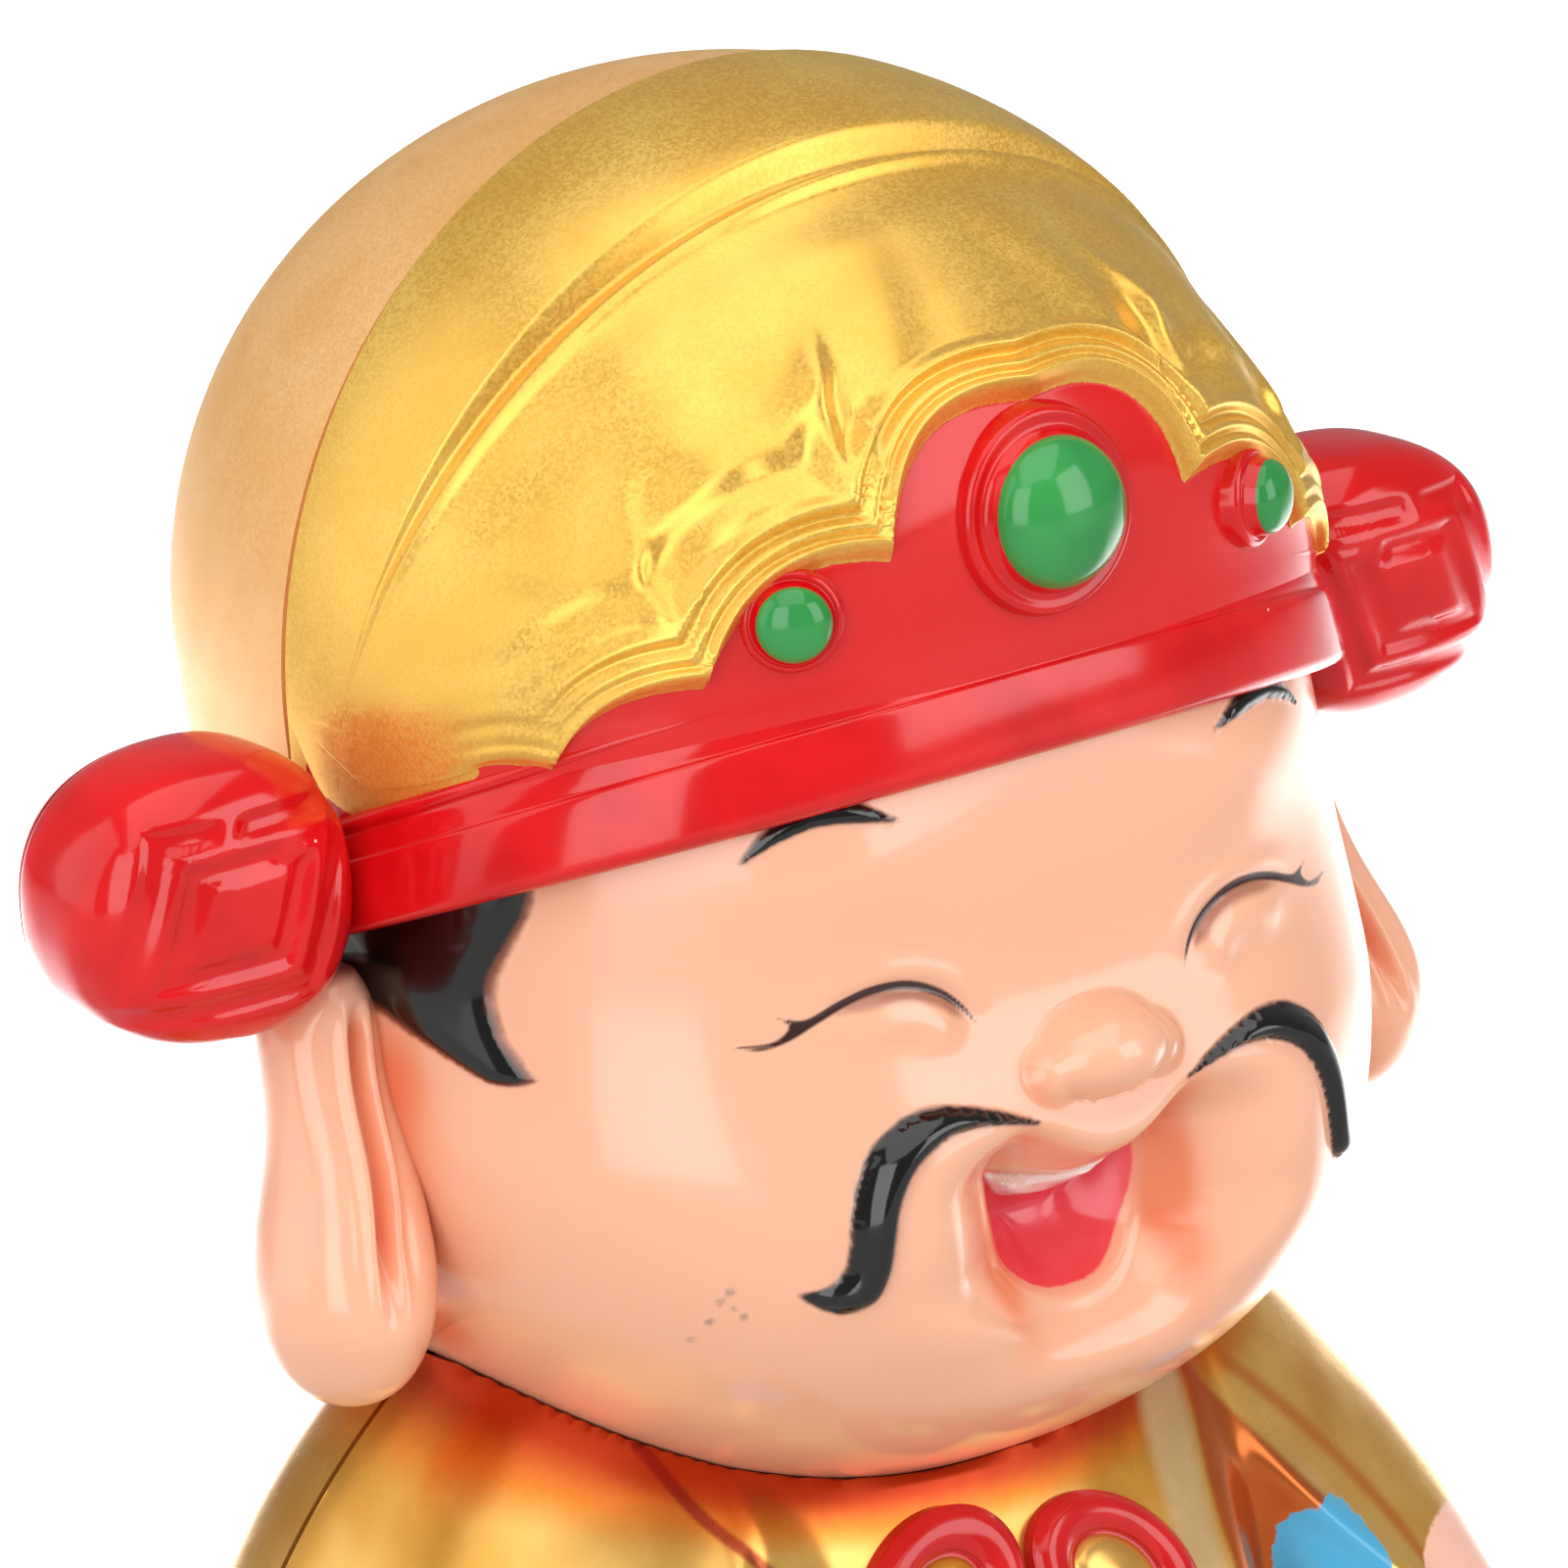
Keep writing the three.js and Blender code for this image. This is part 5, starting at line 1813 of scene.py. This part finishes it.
    def build(self) -> list[bpy.types.Object]:
        """Makes both body mouldings.

        Returns:
            The front one and the back one.
        """
        gold = PlatedGold("plated_gold").make(
            # painted highlight, a pale strip on the chest's edge
            Paint("panel", "EBCB97", 0.5, opacity=0.75),
            # painted shade in the sleeve's opening
            Paint("wedge", "C2420C", 0.25, opacity=0.8),
            # painted shade along the sleeve's fold
            Paint("pleat", "D2691A", 0.3, opacity=0.7),
            Paint("lapel", "9E1D12", 0.14, opacity=0.85, inset=0.12),
            Paint("cuff", "4FB0DC", 0.06, wobble=0.5, wander=1.2, metallic=0.0, roughness=0.2),
            Paint("hand", "F9C4AE", 0.08, wobble=0.1, metallic=0.0, roughness=0.25))
        plain = PlatedGold("back_plated_gold", "E0B266", "CC9440").make()
        red = GlossEnamel("ornament_enamel", "DC1C22", "CC121A").make()
        front, back = Moulding("body_front_moulding"), Moulding("body_back_moulding")
        self.half(front, True)
        for lobe in self.ornament:
            bearing = math.asin((lobe.apart / self.half_width) ** 1.1)
            lobe.skin(front, self.robe(np.array(bearing), np.array(lobe.level))[1])
        self.half(back, False)
        # a plain post stands under the jaw
        foot = np.array([0, SEAM_Y - 0.2, self.head.neck - 0.35])
        back.skin(lathe([(6.5, -20.8), (6.5, 0)], foot, np.array([0, 0.0001, 1.0]), 64))
        return [front.make([gold, red], "body_front", "robe_gold"),
                back.make([plain], "body_back", "robe_back_gold")]


# The studio


class Softbox(Enum):
    """The lamps: place and aim in millimetres, size in metres, and power in watts."""

    LEFT = ((-620.0, -420.0, 300.0), (0.0, 0.0, 45.0), 0.5, 2.75)
    RIGHT = ((330.0, -640.0, 300.0), (0.0, 0.0, 45.0), 0.42, 2.1)
    TOP = ((-60.0, -120.0, 700.0), (0.0, 0.0, 50.0), 0.7, 2.9)
    BACK = ((-560.0, 300.0, 330.0), (0.0, 0.0, 55.0), 0.6, 1.5)
    # lights only the floor behind the figure, for a white background
    SWEEP = ((60.0, 85.0, 200.0), (300.0, 420.0, 0.0), 0.3, 4.2)


@dataclass(frozen=True)
class Studio:
    """Camera, lamps and floor."""

    camera_place: tuple[float, float, float] = (-231.438, -326.988, 122.796)
    camera_right: tuple[float, float, float] = (0.80028904, -0.59589213, -0.06670845)
    camera_up: tuple[float, float, float] = (0.22615736, 0.19693674, 0.95397525)
    lens: float = 221.9
    sensor: float = 36.0
    world_strength: float = 0.26
    floor_half: float = 4.0  # metres
    paper: str = "CECECE"

    def camera(self) -> bpy.types.Object:
        """Sets the camera where the photograph was taken from.

        Returns:
            The camera.
        """
        data = bpy.data.cameras.new("camera")
        data.lens, data.sensor_width = self.lens, self.sensor
        data.clip_start, data.clip_end = 0.01, 20.0
        camera = bpy.data.objects.new("camera", data)
        right, up = Vector(self.camera_right), Vector(self.camera_up)
        turn = Matrix((right, up, right.cross(up))).transposed().to_4x4()
        place = (Vector(self.camera_place) + Vector((0, 0, HEAD_LEVEL))) * MM
        camera.matrix_world = Matrix.Translation(place) @ turn
        bpy.context.scene.collection.objects.link(camera)
        bpy.context.scene.camera = camera
        return camera

    def lamps(self) -> None:
        """Hangs the softboxes and lights the white surroundings."""
        for box in Softbox:
            place, aim, size, power = box.value
            data = bpy.data.lights.new("softbox_" + box.name.lower(), "AREA")
            data.shape, data.size, data.size_y, data.energy = "RECTANGLE", size, size * 1.3, power
            lamp = bpy.data.objects.new(data.name, data)
            lamp.location = Vector(place) * MM
            towards = Vector(aim) * MM - lamp.location
            lamp.rotation_euler = towards.to_track_quat("-Z", "Y").to_euler()
            bpy.context.scene.collection.objects.link(lamp)
        world = bpy.data.worlds.new("white_studio")
        world.use_nodes = True
        background = world.node_tree.nodes["Background"]
        background.inputs[0].default_value = (1, 1, 1, 1)
        background.inputs[1].default_value = self.world_strength
        bpy.context.scene.world = world
        bpy.context.scene.view_settings.view_transform = "Standard"

    def floor(self) -> bpy.types.Object:
        """Lays the plain pale floor.

        Returns:
            The floor.
        """
        mesh = bpy.data.meshes.new("floor")
        half = self.floor_half
        corners = [(-half, -half, 0), (half, -half, 0), (half, half, 0), (-half, half, 0)]
        mesh.from_pydata(corners, [], [(0, 1, 2, 3)])
        mesh.materials.append(
            Surface("white_paper", Gloss(roughness=0.9)).finish(linear(self.paper)))
        floor = bpy.data.objects.new("floor", mesh)
        bpy.context.scene.collection.objects.link(floor)
        return floor


def main() -> None:
    """Builds the studio and the five mouldings."""
    logging.basicConfig(level=logging.INFO, format="%(name)s %(message)s", stream=sys.stdout)
    studio = Studio()
    studio.camera()
    studio.lamps()
    studio.floor()
    Head().build()
    Hat().build()
    Body().build()


if __name__ == "__main__":
    main()
